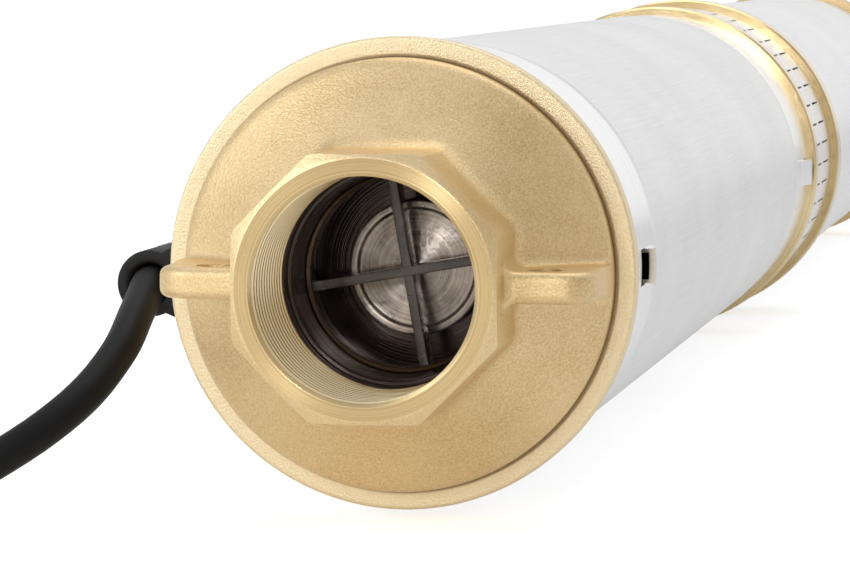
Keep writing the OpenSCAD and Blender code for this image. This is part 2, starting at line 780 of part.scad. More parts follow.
// Upper end of the motor: register, seal bore, bearing seat and stud holes
module motor_flange() {
    pocket_depth = 4;
    color("#8f9294") difference() {
        union() {
            rod(register_r, flange_s - register_t, flange_s + 1);
            rod(motor_r, flange_s, shell_s);
            rod(motor_fit_r, shell_s - 1, shell_s + flange_spigot);
        }
        rod(seal_bore_r + shaft_fit, flange_s - register_t - through, shell_s + flange_spigot);
        rod(bearing_d / 2 + shaft_fit, upper_bearing_s, shell_s + flange_spigot + through);
        ring_of(4, 45) {
            translate([stud_circle / 2, 0]) rod(stud_d / 2 + shaft_fit, flange_s - 2 * register_t, flange_s + stud_reach + run_gap);
            translate([motor_r - pocket_depth + 0.4, -6, flange_s + 2.5])
                cube([pocket_depth + 4, 12, 9]);
        }
    }
}

module seal_seat() {
    color("#4a4c50") tube(motor_shaft_r + 0.5, seal_bore_r, flange_s + 3, flange_s + 9);
}

module seal_ring() {
    color("#2d2d30") tube(motor_bore_r, seal_bore_r - 1.5, flange_s + 9 + run_gap, upper_bearing_s - 1);
}

module motor_shell() { color("#dcdddd") tube(shell_bore_r, motor_r, shell_s, shell_end); }

module stator_core() {
    color("#7d8084") difference() {
        tube(stator_bore_r, motor_fit_r, stator_s, stator_end);
        ring_of(stator_slots) translate([slot_mouth_r, -slot_half, stator_s - through])
            cube([slot_floor_r - slot_mouth_r, 2 * slot_half, stator_len + 2 * through]);
    }
}

module stator_winding() {
    slot_fit = 0.2;
    head_in_r = slot_mouth_r + slot_fit;
    head_over = 4;
    head_out_r = slot_floor_r + head_over;
    slot_over = 1;
    color("#b0682e") {
        ring_of(stator_slots) translate([head_in_r, -slot_half + slot_fit, stator_s - slot_over])
            cube([slot_floor_r - slot_mouth_r - 2 * slot_fit, 2 * (slot_half - slot_fit),
                  stator_len + 2 * slot_over]);
        tube(head_in_r, head_out_r, stator_s - winding_head, stator_s);
        tube(head_in_r, head_out_r, stator_end, stator_end + winding_head);
    }
}

module rotor_core() {
    color("#9a9da0") tube(motor_bore_r, stator_bore_r - 0.4, stator_s - 3, stator_end + 3);
}

module motor_shaft() { color("#c9cccf") rod(motor_shaft_r, motor_shaft_s, motor_shaft_end); }

// Outer ring and balls of a motor bearing
module motor_bearing(s0) {
    color("#a9adb1") {
        tube(bearing_d / 2 - race_t, bearing_d / 2, s0, s0 + bearing_w);
        ring_of(bearing_balls) translate([ball_track_r, 0, s0 + bearing_w / 2]) sphere(ball_r);
    }
}

module motor_race(s0) {
    color("#a9adb1") tube(motor_bore_r, motor_bore_r + race_t, s0, s0 + bearing_w);
}

module lower_shield() {
    color("#8f9294") difference() {
        rod(motor_fit_r, lower_shield_s, lower_shield_s + lower_shield_t);
        rod(bearing_d / 2 + shaft_fit, lower_shield_s - through, lower_shield_s + bearing_w);
        rod(motor_shaft_r + race_t + 1, lower_shield_s, lower_shield_s + lower_shield_t + through);
    }
}

module thrust_runner() { color("#b4b8bb") tube(motor_bore_r, runner_d / 2, runner_s, runner_s + runner_t); }

module thrust_pads() {
    pad_angle = 360 / thrust_pad_count - 14;
    color("#3a3a3c") ring_of(thrust_pad_count)
        sector(motor_shaft_r + 5, runner_d / 2 - 1, pad_s, pad_s + pad_t, pad_angle);
}

module thrust_carrier() {
    color("#8f9294") tube(motor_shaft_r + 1, motor_fit_r, pad_s + pad_t, pad_s + pad_t + carrier_t);
}

// Rubber cup that lets the motor's filling expand
module diaphragm() {
    cup_gap = 10;
    cup_r = motor_fit_r - cup_gap;
    top_s = diaphragm_s;
    color("#232323") {
        tube(cup_r, motor_fit_r, diaphragm_flange_s, diaphragm_flange_s + 2 * diaphragm_t);
        tube(cup_r, cup_r + diaphragm_t, top_s, diaphragm_flange_s + 1);
        rod(cup_r + diaphragm_t, top_s, top_s + diaphragm_t);
    }
}

module base_cap() {
    bore_r = motor_fit_r - 6;
    floor_s = shell_end + 12;
    edge = 2;
    foot_r = base_r - 9;
    vent_r = 3;
    color("#d8b679") rotate_extrude() polygon([
        [bore_r, shell_end - base_spigot], [motor_fit_r, shell_end - base_spigot],
        [motor_fit_r, shell_end], [base_r - edge, shell_end], [base_r, shell_end + edge],
        [base_r, base_end - 10], [foot_r, base_end], [vent_r, base_end], [vent_r, floor_s],
        [bore_r, floor_s]]);
}

// Outline of the saddle that carries a cable ring on a tube of radius r
module saddle_outline(r) {
    ring_half = holder_d / 2;
    difference() {
        union() {
            translate([cable_line_r, 0]) circle(ring_half);
            polygon([[r - 3, -saddle_w / 2], [cable_line_r - 2.5, -ring_half + 0.8],
                     [cable_line_r - 2.5, ring_half - 0.8], [r - 3, saddle_w / 2]]);
        }
        circle(r + spigot_fit / 2);
    }
}

module cable_holder() {
    flare = 0.9;
    color("#242424") at_cable() difference() {
        translate([0, 0, holder_s]) linear_extrude(holder_len) saddle_outline(sleeve_r);
        translate([cable_line_r, 0]) {
            rod(cable_r + shaft_fit, holder_s - through, holder_s + holder_len + through);
            translate([0, 0, holder_s - 0.01])
                cylinder(r1 = cable_r + flare, r2 = cable_r + shaft_fit, h = 5);
        }
        sector(sleeve_r, sleeve_r + lip_h + 0.4, holder_s + holder_len / 2, guard_s, 1.2 * saddle_w);
    }
}

module motor_lead() {
    color("#2a2a2a") at_cable() translate([cable_line_r, 0]) rod(cable_r, lead_s, lead_end);
}

// Places of the guard's screws, with Z pointing outwards
module guard_screw_places() {
    foot_mid = (guard_in_half + guard_wall + guard_w / 2) / 2;
    foot_angle = asin(foot_mid / sleeve_r);
    for (s = guard_screw_stations) for (side = [-1, 1])
        rotate([0, 0, cable_angle + side * foot_angle]) translate([0, 0, s]) rotate([0, 90, 0]) children();
}

// Steel channel that covers the cable from the holder to the motor
module cable_guard() {
    wall_half = guard_in_half + guard_wall;
    foot_r = sleeve_r + shaft_fit;
    color("#d9dbdb") difference() {
        at_cable() translate([0, 0, guard_s]) linear_extrude(guard_end - guard_s) difference() {
            union() {
                translate([foot_r - 2, -wall_half])
                    square([guard_top_r + guard_wall - foot_r + 2, 2 * wall_half]);
                intersection() {
                    circle(foot_r + guard_wall);
                    translate([0, -guard_w / 2]) square([motor_d, guard_w]);
                }
            }
            translate([foot_r - 3, -guard_in_half])
                square([guard_top_r - foot_r + 3, 2 * guard_in_half]);
            circle(foot_r);
        }
        rod(ring_r + run_gap, bracket_s - run_gap, flange_s + run_gap);
        rod(motor_r + shaft_fit, flange_s, guard_end + through);
        guard_screw_places() rod(screw_d / 2 + shaft_fit, sleeve_r - 1, sleeve_r + 4);
    }
}

module guard_screws() {
    head_r = sleeve_r + 2 * shaft_fit + guard_wall;
    color("#b4b8bb") guard_screw_places() {
        rod(screw_d / 2, sleeve_bore_r + shaft_fit, head_r + 0.5);
        rod(screw_head_d / 2, head_r, head_r + 2);
    }
}

// Moulded entry where the lead goes into the motor
module lead_gland() {
    color("#242424") at_cable() difference() {
        union() {
            translate([0, 0, gland_s]) linear_extrude(gland_len) saddle_outline(motor_r);
            translate([cable_line_r, 0, gland_s + gland_len]) sphere(holder_d / 2);
        }
        translate([cable_line_r, 0]) rod(cable_r + shaft_fit, gland_s - through, lead_end);
        rod(motor_r + spigot_fit / 2, gland_s - through, gland_s + 2 * gland_len);
    }
}

// Tube of even radius swept along a list of points
function unit(v) = v / norm(v);
function route_way(p, i) = unit(p[min(i + 1, len(p) - 1)] - p[max(i - 1, 0)]);
function route_ring(p, i, r) =
    let (way = route_way(p, i),
         side = unit(cross(way, [0, 0, 1])),
         up = cross(side, way))
    [for (k = [0:route_sides - 1])
        let (a = 360 * k / route_sides) p[i] + r * (cos(a) * side + sin(a) * up)];

module supply_cable() {
    last = len(cable_route) - 1;
    points = [for (i = [0:last]) each route_ring(cable_route, i, cable_r)];
    sides = [for (i = [0:last - 1]) for (k = [0:route_sides - 1])
        let (k2 = (k + 1) % route_sides, a = i * route_sides, b = a + route_sides)
        [a + k, b + k, b + k2, a + k2]];
    first_end = [for (k = [0:route_sides - 1]) k];
    last_end = [for (k = [route_sides - 1:-1:0]) last * route_sides + k];
    color("#2a2a2a") polyhedron(points, concat(sides, [first_end, last_end]));
}

module cable_coil() {
    color("#2a2a2a") translate([coil_x, coil_y, floor_z]) rotate_extrude()
        translate([coil_in_r, 0]) square([coil_out_r - coil_in_r, coil_h]);
}

// End of the lead with its three bare cores, on top of the coil
module cable_tail() {
    color("#2a2a2a") translate([coil_x, coil_y, floor_z + coil_h + cable_r + shaft_fit]) {
        rotate([0, 0, tail_start]) rotate_extrude(angle = tail_angle)
            translate([coil_d / 2, 0]) circle(cable_r);
        for (k = [0:2]) rotate([0, 0, tail_start - core_angle]) rotate_extrude(angle = core_angle)
            translate([coil_d / 2 + core_offset * cos(120 * k + 90), core_offset * sin(120 * k + 90)])
                circle(core_r);
    }
}

along_pump() discharge_head();
along_pump() head_oring();
along_pump() valve_cage();
along_pump() valve_seat();
along_pump() valve_circlip();
along_pump() valve_poppet();
along_pump() valve_seal();
along_pump() pump_sleeve();
along_pump() upper_bearing_carrier();
along_pump() bush(carrier_hub_s);  // upper_bush
along_pump() shaft_sleeve(carrier_hub_s, hub_start);  // upper_shaft_sleeve
for (i = stages) {
    along_pump() diffuser(i);
    along_pump() impeller(i);
}
along_pump() pump_shaft();
along_pump() suction_bracket();
along_pump() bush(lower_hub_s);  // lower_bush
along_pump() shaft_sleeve(hub_stack_end, lower_hub_s + bush_len);  // lower_shaft_sleeve
along_pump() suction_strainer();
along_pump() shaft_coupling();
along_pump() flange_studs();
along_pump() sand_slinger();
along_pump() motor_flange();
along_pump() seal_seat();
along_pump() seal_ring();
along_pump() motor_shell();
along_pump() stator_core();
along_pump() stator_winding();
along_pump() rotor_core();
along_pump() motor_shaft();
along_pump() motor_bearing(upper_bearing_s);  // upper_motor_bearing
along_pump() motor_race(upper_bearing_s);  // upper_motor_race
along_pump() lower_shield();
along_pump() motor_bearing(lower_shield_s);  // lower_motor_bearing
along_pump() motor_race(lower_shield_s);  // lower_motor_race
along_pump() thrust_runner();
along_pump() thrust_pads();
along_pump() thrust_carrier();
along_pump() diaphragm();
along_pump() base_cap();
along_pump() cable_holder();
along_pump() motor_lead();
along_pump() cable_guard();
along_pump() guard_screws();
along_pump() lead_gland();
supply_cable();
cable_coil();
cable_tail();
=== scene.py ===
import json
import math

import bmesh
import bpy
import numpy as np
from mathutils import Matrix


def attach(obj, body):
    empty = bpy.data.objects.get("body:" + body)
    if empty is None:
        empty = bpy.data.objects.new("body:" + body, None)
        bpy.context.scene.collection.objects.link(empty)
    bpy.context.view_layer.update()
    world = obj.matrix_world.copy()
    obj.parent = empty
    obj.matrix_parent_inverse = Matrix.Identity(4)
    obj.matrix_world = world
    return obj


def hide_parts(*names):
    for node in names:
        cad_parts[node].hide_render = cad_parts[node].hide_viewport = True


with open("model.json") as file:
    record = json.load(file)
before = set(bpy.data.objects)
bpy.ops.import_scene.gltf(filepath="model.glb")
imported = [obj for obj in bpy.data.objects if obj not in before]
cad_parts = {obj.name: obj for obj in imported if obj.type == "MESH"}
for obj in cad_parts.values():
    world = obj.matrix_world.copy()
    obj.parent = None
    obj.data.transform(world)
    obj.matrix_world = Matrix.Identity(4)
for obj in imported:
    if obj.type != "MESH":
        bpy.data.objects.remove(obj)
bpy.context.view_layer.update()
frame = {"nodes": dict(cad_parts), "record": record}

nodes = frame["nodes"]

# All lengths in the sections below are millimetres, and MM turns them into Blender's metres.
# The pump axis is Y: a station is a distance along it from the outlet face.
MM = 0.001

# Camera, in the photograph's 850 by 567 frame
CAMERA_AT = (155.2, -772.4, 66.1)
CAMERA_AZIMUTH = 10.47
CAMERA_ELEVATION = 4.70
FOCAL_PIXELS = 4065
FRAME_PIXELS = 850
SENSOR = 36.0

# Outlet head
BORE_R = 23.9
OUTLET_DEPTH = 30.5
MOUTH_R = 22.9
MOUTH_DEPTH = 0.5
FACE_R = 25.7
FACE_CHAMFER = math.tan(math.radians(30))
BOSS_FLAT = 26.45
BOSS_CORNER_R = 28.4
BOSS_LEN = 22.0
BOSS_FILLET = 2.2
SHOULDER_R = 44.3
SHOULDER_S = 35.0
SHOULDER_ROUND = 1.1
CREASE_R = 0.5
RIM_S = 40.0
RIM_R = 48.5
RIM_ROUND = 0.7
SLEEVE_S = 45.5
SPIGOT_R = 45.1
SPIGOT_END = 62.0
SPIGOT_BORE_R = 41.0
POCKET_S = 50.0
NECK_R = 31.0
NECK_END = 75.2
CHAMBER_R = 27.0
LUG_HALF = 3.15
LUG_FRONT = 9.0
LUG_CORNER_R = 7.0
LUG_EDGE = 1.7
LUG_FOOT = 1.8
LUG_ZONE = 9.5
EYE_X = 33.5
EYE_S = 16.0
EYE_R = 3.5
EYE_CUT = 9
EYE_STEPS = 48

# Outlet thread. Its section is (depth, station): a depth below 0 is a share of the whole ridge,
# and one above 0 is sunk into the wall.
THREAD_PITCH = 2.309
THREAD_CREST_R = 22.2
THREAD_START = 1.2
THREAD_MARGIN = 2.0
THREAD_STEPS = 96
THREAD_FADE = 0.5
THREAD_SECTION = [
    (0.12, -1.14), (-0.25, -0.92), (-0.9, -0.5), (-1.0, -0.36),
    (-1.0, 0.36), (-0.9, 0.5), (-0.25, 0.92), (0.12, 1.14),
]

# Check valve. The poppet's face is (radius, station from POPPET_S, corner radius).
CAGE_END = 64.0
CAGE_LIP_R = 22.2
CAGE_LIP_LEN = 3
CAGE_THROAT_R = 19.6
CAGE_WALL_R = 22.5
RIB_FRONT = 47.6
RIB_BACK = 53.6
RIB_T = 2.0
RIB_EDGE = 0.2
RIB_TURN = 10.0
RIB_SHIFT = 0.06
RIB_ROOT = 0.6
POPPET_R = 14.2
POPPET_S = 58.7
POPPET_BACK = 61.7
POLE_R = 0.05
POPPET_FACE = [
    (POLE_R, -0.75, 0), (4.0, -0.66, 12.0), (8.6, -0.35, 12.0),
    (12.2, 0.05, 0.5), (12.6, -0.9, 0.4), (POPPET_R, -0.9, 0.5),
]
STEM_R = 3.0
STEM_END = 74.0

# Sleeve
SLEEVE_R = 46.7
FRONT_BAND_END = 86.5
REAR_BAND_S = 413.0
BAND_BLEND = 0.4

# Cable and its holder
CABLE_D = 7.4
CABLE_R = CABLE_D / 2
CABLE_LINE_R = 55.3
CABLE_DROP = 3.63
CABLE_STEP = 3.0
CABLE_ROUTE = [
    (-55.2, 55, -3.5), (-55, 48, -3.6), (-53.9, 40, -5.3), (-53.2, 30, -8.5), (-53, 20, -13),
    (-54.2, 12, -17.2), (-56.2, 4.5, -21.2), (-60, -3, -25.6), (-66.5, -10, -30.8),
    (-76, -17, -36.6), (-88, -22.5, -41.8), (-100, -25.8, -45.2), (-112.5, -27.1, -46.3),
]
HOLDER_S = 49.0
HOLDER_LEN = 25.0
HOLDER_RING_R = 7.0
HOLDER_HOLE_R = 4.4
HOLDER_EDGE = 0.9
HOLDER_GAP = 0.05
SADDLE_W = 19.0
SADDLE_SPAN = -0.6
SADDLE_REACH = 40

# Coil on the floor, with its bands and the stripped end of the cable. Angles are in degrees.
FLOOR_Z = -50.0
COIL_ENTRY = (-126, -27.1, FLOOR_Z + CABLE_R)
COIL_MEAN_R = 40.7
COIL_COLUMNS = 3
COIL_X = -140.0
COIL_Y = 21.0
COIL_START = 270
COIL_CROSSING = 0.2
TOP_LAYER = 2.5 * CABLE_D
TAIL_START = 160.0
TAIL_END = 100.0
TAIL_LEAD = 0.15
CORE_R = 1.4
CORE_OFFSET = 1.8
CORE_ANGLE = 26.0
CORE_SPREAD = 1.4
CORE_GATHER = 0.3
STRAND_R = 0.85
ROD_SIDES = 20
BAND_W = 5.0
BAND_T = 1.1
BAND_EDGE = 0.3
BAND_GAP = 0.05
BANDS = {"coil_band_1": (40, False), "coil_band_2": (128, True)}

# Colours of the metals and mouldings
BRASS_LIGHT = (0.93, 0.76, 0.47)
BRASS_DEEP = (0.63, 0.44, 0.20)
BRASS_TURNED = (0.95, 0.81, 0.53)
BRASS_RIM = (0.93, 0.83, 0.61)
BRASS_FACE = (0.52, 0.38, 0.18)
BRASS_RING = (0.50, 0.36, 0.16)
# Painted shade: the dark brown that the crease at the foot of the rim step is darkened towards
BRASS_CREASE_SHADE = (0.16, 0.09, 0.03)
STEEL_LIGHT = (0.90, 0.90, 0.895)
STEEL_DARK = (0.77, 0.77, 0.77)
STEEL_BAND = (0.86, 0.86, 0.86)
VALVE_DARK = (0.010, 0.005, 0.004)
VALVE_LIGHT = (0.032, 0.017, 0.012)
VALVE_TINT = (1.0, 0.80, 0.73, 1)
RIB_DARK = (0.065, 0.050, 0.043)
RIB_LIGHT = (0.24, 0.195, 0.175)
POPPET_DARK = (0.09, 0.075, 0.066)
POPPET_LIGHT = (0.82, 0.73, 0.67)

# Brushed metals: light and dark tone, then the lowest and highest roughness
BRUSHED = {
    "motor_stainless": ((0.94, 0.94, 0.935), (0.84, 0.84, 0.84), 0.30, 0.40),
    "strainer_stainless": ((0.94, 0.93, 0.92), (0.84, 0.83, 0.82), 0.26, 0.38),
    "shaft_stainless": ((0.72, 0.73, 0.74), (0.55, 0.56, 0.57), 0.22, 0.34),
    "motor_casting": ((0.60, 0.61, 0.62), (0.46, 0.47, 0.48), 0.34, 0.50),
    "core_steel": ((0.42, 0.43, 0.44), (0.30, 0.31, 0.32), 0.40, 0.55),
    "copper_winding": ((0.62, 0.30, 0.13), (0.42, 0.18, 0.07), 0.30, 0.45),
}
# Plastics and rubbers: dark and light tone, the lowest and highest roughness, then the grain's scale,
# the grain's depth in metres and the gloss
MOULDED = {
    "stage_plastic": ((0.018, 0.018, 0.019), (0.035, 0.035, 0.037), 0.38, 0.55, 1200.0, 0.00006, 0.5),
    "impeller_plastic": ((0.62, 0.57, 0.47), (0.72, 0.68, 0.58), 0.35, 0.5, 900.0, 0.00004, 0.5),
    "black_rubber": ((0.008, 0.008, 0.008), (0.018, 0.018, 0.019), 0.5, 0.66, 1500.0, 0.00008, 0.3),
    "cable_jacket": ((0.006, 0.006, 0.0065), (0.012, 0.012, 0.0125), 0.42, 0.56, 1800.0, 0.00004, 0.14),
    "core_brown": ((0.12, 0.045, 0.02), (0.16, 0.06, 0.03), 0.38, 0.5, 1500.0, 0.00002, 0.5),
    "core_blue": ((0.02, 0.07, 0.24), (0.03, 0.10, 0.30), 0.38, 0.5, 1500.0, 0.00002, 0.5),
    "core_green": ((0.05, 0.22, 0.05), (0.09, 0.28, 0.06), 0.38, 0.5, 1500.0, 0.00002, 0.5),
    "seal_carbon": ((0.05, 0.05, 0.055), (0.09, 0.09, 0.095), 0.3, 0.45, 1200.0, 0.00002, 0.5),
}
# Finishes of the material slots whose names differ, and of nodes that don't take their slot's finish
SLOT_FINISH = {"stainless": "motor_stainless", "shaft_steel": "shaft_stainless"}
NODE_FINISH = {
    "suction_bracket": "ring_brass", "suction_strainer": "strainer_stainless",
    "pump_sleeve": "sleeve_stainless",
}

# Floor and light, in metres. The cards' ways lead from the pump to the middle of a warm card at the
# front right and of a white card behind. A lamp has a place, a point it faces, a side and a power.
FLOOR_SIZE = 6.0
FLOOR_GAP = 0.0002
FLOOR_COLOUR = (0.84, 0.84, 0.84, 1)
FLOOR_SEEN = 0.62
FLOOR_LEFT = 0.36
FLOOR_RIGHT = 0.13
FLOOR_WARM = (1.0, 0.82, 0.54)
WHITE = (1.0, 1.0, 1.0)
SKY_LOW = (0.86, 0.86, 0.86)
SKY_HIGH = (0.62, 0.62, 0.63)
SOFT_FILL = (0.55, 0.55, 0.56)
WARM_CARD = (0.45, 0.38, 0.28)
WARM_CARD_WAY = (0.60, -0.76, -0.25)
WHITE_CARD_WAY = (0.06, 0.98, 0.18)
LAMPS = {
    "key_lamp": ((-0.8, -0.8, 0.6), (0, 0.1, 0), 0.8, 4.3),
    "front_lamp": ((0.05, -1.22, 0.27), (0, 0, 0), 0.12, 1.5),
    "top_lamp": ((0.1, 0.5, 1.1), (0, 0.35, 0), 0.9, 3),
}


# Objects and camera

def new_object(name, data):
    """A new object in the scene that shows the data."""
    thing = bpy.data.objects.new(name, data)
    bpy.context.scene.collection.objects.link(thing)
    return thing


def make_camera():
    """A long lens at the place and angle that the photograph was taken from."""
    data = bpy.data.cameras.new("photo_camera")
    data.sensor_width = SENSOR
    data.lens = FOCAL_PIXELS * SENSOR / FRAME_PIXELS
    data.clip_start = 0.01
    data.clip_end = 50
    camera = new_object("photo_camera", data)
    camera.location = [v * MM for v in CAMERA_AT]
    camera.rotation_euler = (math.radians(90 - CAMERA_ELEVATION), 0, math.radians(CAMERA_AZIMUTH))
    bpy.context.scene.camera = camera


# Mesh tools

def arc(start, end, count):
    """Angles in radians from start to end, both in degrees."""
    return np.radians(np.linspace(start, end, count))


def round_angles(count):
    """Angles in radians, evenly round the whole circle."""
    return np.linspace(0, 2 * math.pi, count, endpoint=False)


def unit(vectors):
    """The vectors in the rows, each brought to length one."""
    return vectors / np.linalg.norm(vectors, axis=1)[:, None]


def column(*parts):
    """All values of the parts in one column."""
    return np.concatenate(parts)[:, None]


def smooth_step(f):
    """Slow start and end between 0 and 1, from 3 f squared less 2 f cubed."""
    f = np.clip(f, 0, 1)
    return f * f * (3 - 2 * f)


def bezier(a, b, c, f):
    """Quadratic curve from a to c, pulled towards b."""
    return (1 - f) ** 2 * a + 2 * f * (1 - f) * b + f ** 2 * c


def grid_quads(rows, cols, ring):
    """Quads of a rows by cols grid, as indices. Its columns wrap round, and in a ring its rows do too."""
    a, b = np.meshgrid(np.arange(rows if ring else rows - 1), np.arange(cols), indexing="ij")
    a2, b2 = (a + 1) % rows, (b + 1) % cols
    quads = np.stack([a * cols + b, a * cols + b2, a2 * cols + b2, a2 * cols + b], -1)
    return quads.reshape(-1, 4)


def outward(points, quads):
    """Turns the quads round if the closed surface has a negative volume."""
    p = points[quads]
    low = np.einsum("ij,ij->i", p[:, 0], np.cross(p[:, 1], p[:, 2]))
    high = np.einsum("ij,ij->i", p[:, 0], np.cross(p[:, 2], p[:, 3]))
    return quads[:, ::-1] if (low + high).sum() < 0 else quads


def close_ends(grid, first, last):
    """The grid with a row more at each end, in which all points lie on the point given."""
    shape = (1, *grid.shape[1:])
    return np.concatenate([np.broadcast_to(first, shape), grid, np.broadcast_to(last, shape)])


def make_piece(name, grid, body, finish, ring=True, caps=(), sharp=40, marks=None):
    """A mesh object from a grid of points in millimetres, smooth except across edges sharper than given.

    caps holds quads besides the grid's own. marks holds named values, one for each point, that the
    materials read as attributes.
    """
    quads = grid_quads(*grid.shape[:2], ring)
    if len(caps):
        quads = np.vstack([quads, caps])
    points = grid.reshape(-1, 3) * MM
    quads = outward(points, quads)
    mesh = bpy.data.meshes.new(name)
    mesh.from_pydata(points.tolist(), [], quads.tolist())
    for mark, values in (marks or {}).items():
        layer = mesh.attributes.new(mark, "FLOAT", "POINT")
        layer.data.foreach_set("value", np.asarray(values, np.float32).ravel())
    merged = bmesh.new()
    merged.from_mesh(mesh)
    bmesh.ops.remove_doubles(merged, verts=merged.verts, dist=1e-7)
    bmesh.ops.dissolve_degenerate(merged, edges=merged.edges, dist=1e-7)
    merged.to_mesh(mesh)
    merged.free()
    mesh.shade_smooth()
    mesh.set_sharp_from_angle(angle=math.radians(sharp))
    mesh.materials.append(finishes[finish])
    piece = new_object(name, mesh)
    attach(piece, body)
    return piece


def rounded_loop(corners, steps=5):
    """Closed outline through (a, b, radius) corners, each replaced by a circular arc of its radius.

    The arc touches both sides at radius over the tangent of half the opening from the corner.
    """
    out = []
    count = len(corners)
    for k, (a, b, radius) in enumerate(corners):
        here = np.array([a, b], float)
        before = np.array(corners[k - 1][:2], float) - here
        after = np.array(corners[(k + 1) % count][:2], float) - here
        before /= np.linalg.norm(before)
        after /= np.linalg.norm(after)
        opening = math.acos(np.clip(before @ after, -1, 1))
        if radius <= 0 or opening > math.pi - 0.02:
            out.append(here)
            continue
        reach = radius / math.tan(opening / 2)
        middle = (before + after) / np.linalg.norm(before + after)
        centre = here + middle * radius / math.sin(opening / 2)
        start = here + before * reach - centre
        end = here + after * reach - centre
        swing = math.acos(np.clip(start @ end / radius ** 2, -1, 1))
        for f in np.linspace(0, 1, steps):
            part = math.sin((1 - f) * swing) * start + math.sin(f * swing) * end
            out.append(centre + part / math.sin(swing))
    return np.array(out)


def box_loop(half, low, high, radius, steps=5):
    """Outline of a rectangle with rounded corners, from -half to half and from low to high."""
    return rounded_loop([(-half, low, radius), (half, low, radius),
                         (half, high, radius), (-half, high, radius)], steps)


def refine(loop, longest):
    """Adds points to a closed outline so that no side is longer than given."""
    out = []
    for k in range(len(loop)):
        a, b = loop[k], loop[(k + 1) % len(loop)]
        n = max(1, int(math.ceil(np.linalg.norm(b - a) / longest)))
        out.extend(a + (b - a) * f for f in np.arange(n) / n)
    return np.array(out)


def lathe(name, corners, body, finish, turns, longest):
    """A ring turned from a closed outline of (radius, station, corner radius): the point at angle t is
    (radius cos t, station, radius sin t)."""
    loop = refine(rounded_loop(corners), longest)
    t = round_angles(turns)
    r, s = loop[:, :1], loop[:, 1:]
    grid = np.stack([r * np.cos(t), s + 0 * t, r * np.sin(t)], -1)
    return make_piece(name, grid, body, finish)


# Shader nodes

def add(tree, kind, **settings):
    """A new node with the settings given."""
    node = tree.nodes.new(kind)
    for key, value in settings.items():
        setattr(node, key, value)
    return node


def split(tree, place):
    """The X, Y and Z of a place, as sockets."""
    node = add(tree, "ShaderNodeSeparateXYZ")
    tree.links.new(place, node.inputs[0])
    return node.outputs[0], node.outputs[1], node.outputs[2]


def join(tree, *parts):
    """A place from its X, Y and Z sockets. Those left out are 0."""
    node = add(tree, "ShaderNodeCombineXYZ")
    for k, part in enumerate(parts):
        tree.links.new(part, node.inputs[k])
    return node.outputs[0]


def math_node(tree, operation, a, b):
    """A math node, whose inputs are sockets or numbers."""
    node = add(tree, "ShaderNodeMath", operation=operation)
    for k, value in enumerate((a, b)):
        if isinstance(value, (int, float)):
            node.inputs[k].default_value = value
        else:
            tree.links.new(value, node.inputs[k])
    return node.outputs[0]


def times(tree, a, b):
    """The product of two sockets or numbers."""
    return math_node(tree, "MULTIPLY", a, b)


def plus(tree, a, b):
    """The sum of two sockets or numbers."""
    return math_node(tree, "ADD", a, b)


def float_mix(tree, factor, a, b):
    """A number between the sockets a and b."""
    node = add(tree, "ShaderNodeMix", data_type="FLOAT")
    for k, value in ((0, factor), (2, a), (3, b)):
        tree.links.new(value, node.inputs[k])
    return node.outputs[0]


def colour_mix(tree, factor, a, b):
    """A colour between a and b, which are sockets or colours."""
    node = add(tree, "ShaderNodeMix", data_type="RGBA")
    tree.links.new(factor, node.inputs["Factor"])
    for k, value in ((6, a), (7, b)):
        if isinstance(value, bpy.types.NodeSocket):
            tree.links.new(value, node.inputs[k])
        else:
            node.inputs[k].default_value = (*value, 1)
    return node.outputs[2]


def spread(tree, value, low, high, to_low, to_high):
    """Maps a value from one range to another, held at the ends."""
    node = add(tree, "ShaderNodeMapRange")
    tree.links.new(value, node.inputs[0])
    for k, number in enumerate((low, high, to_low, to_high), 1):
        node.inputs[k].default_value = number
    return node.outputs[0]


def noise_node(tree, place, scale, detail, roughness):
    """Noise read at a place, at a scale from a socket."""
    node = add(tree, "ShaderNodeTexNoise")
    tree.links.new(place, node.inputs["Vector"])
    tree.links.new(scale, node.inputs["Scale"])
    node.inputs["Detail"].default_value = detail
    node.inputs["Roughness"].default_value = roughness
    return node.outputs[0]


def new_group(name, numbers, outputs):
    """An empty shader node group of a place and named numbers, and its inner sockets at both ends."""
    group = bpy.data.node_groups.new(name, "ShaderNodeTree")
    group.interface.new_socket("Vector", in_out="INPUT", socket_type="NodeSocketVector")
    for label, value in numbers.items():
        socket = group.interface.new_socket(label, in_out="INPUT", socket_type="NodeSocketFloat")
        socket.default_value = value
    for label in outputs:
        group.interface.new_socket(label, in_out="OUTPUT", socket_type="NodeSocketFloat")
    return group, group.nodes.new("NodeGroupInput").outputs, group.nodes.new("NodeGroupOutput").inputs


def make_grain_group():
    """Sand-cast grain: fine noise cut into grains, over a slower mottling."""
    group, given, result = new_group("cast_grain", {"Grain": 1500.0, "Mottle": 60.0},
                                     ["Grains", "Mottling"])
    fine = noise_node(group, given["Vector"], given["Grain"], 3.0, 0.6)
    slow = noise_node(group, given["Vector"], given["Mottle"], 4.0, 0.55)
    group.links.new(spread(group, fine, 0.32, 0.68, 0, 1), result["Grains"])
    group.links.new(spread(group, slow, 0.3, 0.7, 0, 1), result["Mottling"])
    return group


def make_turning_group():
    """Lathe marks round the pump axis: noise read along the radius and the station only."""
    group, given, result = new_group("turning_marks", {"Lines": 4000.0}, ["Marks"])
    x, station, z = split(group, given["Vector"])
    radius = math_node(group, "SQRT", plus(group, times(group, x, x), times(group, z, z)), 0.0)
    marks = noise_node(group, join(group, radius, station), given["Lines"], 2.0, 0.7)
    group.links.new(spread(group, marks, 0.3, 0.7, 0, 1), result["Marks"])
    return group


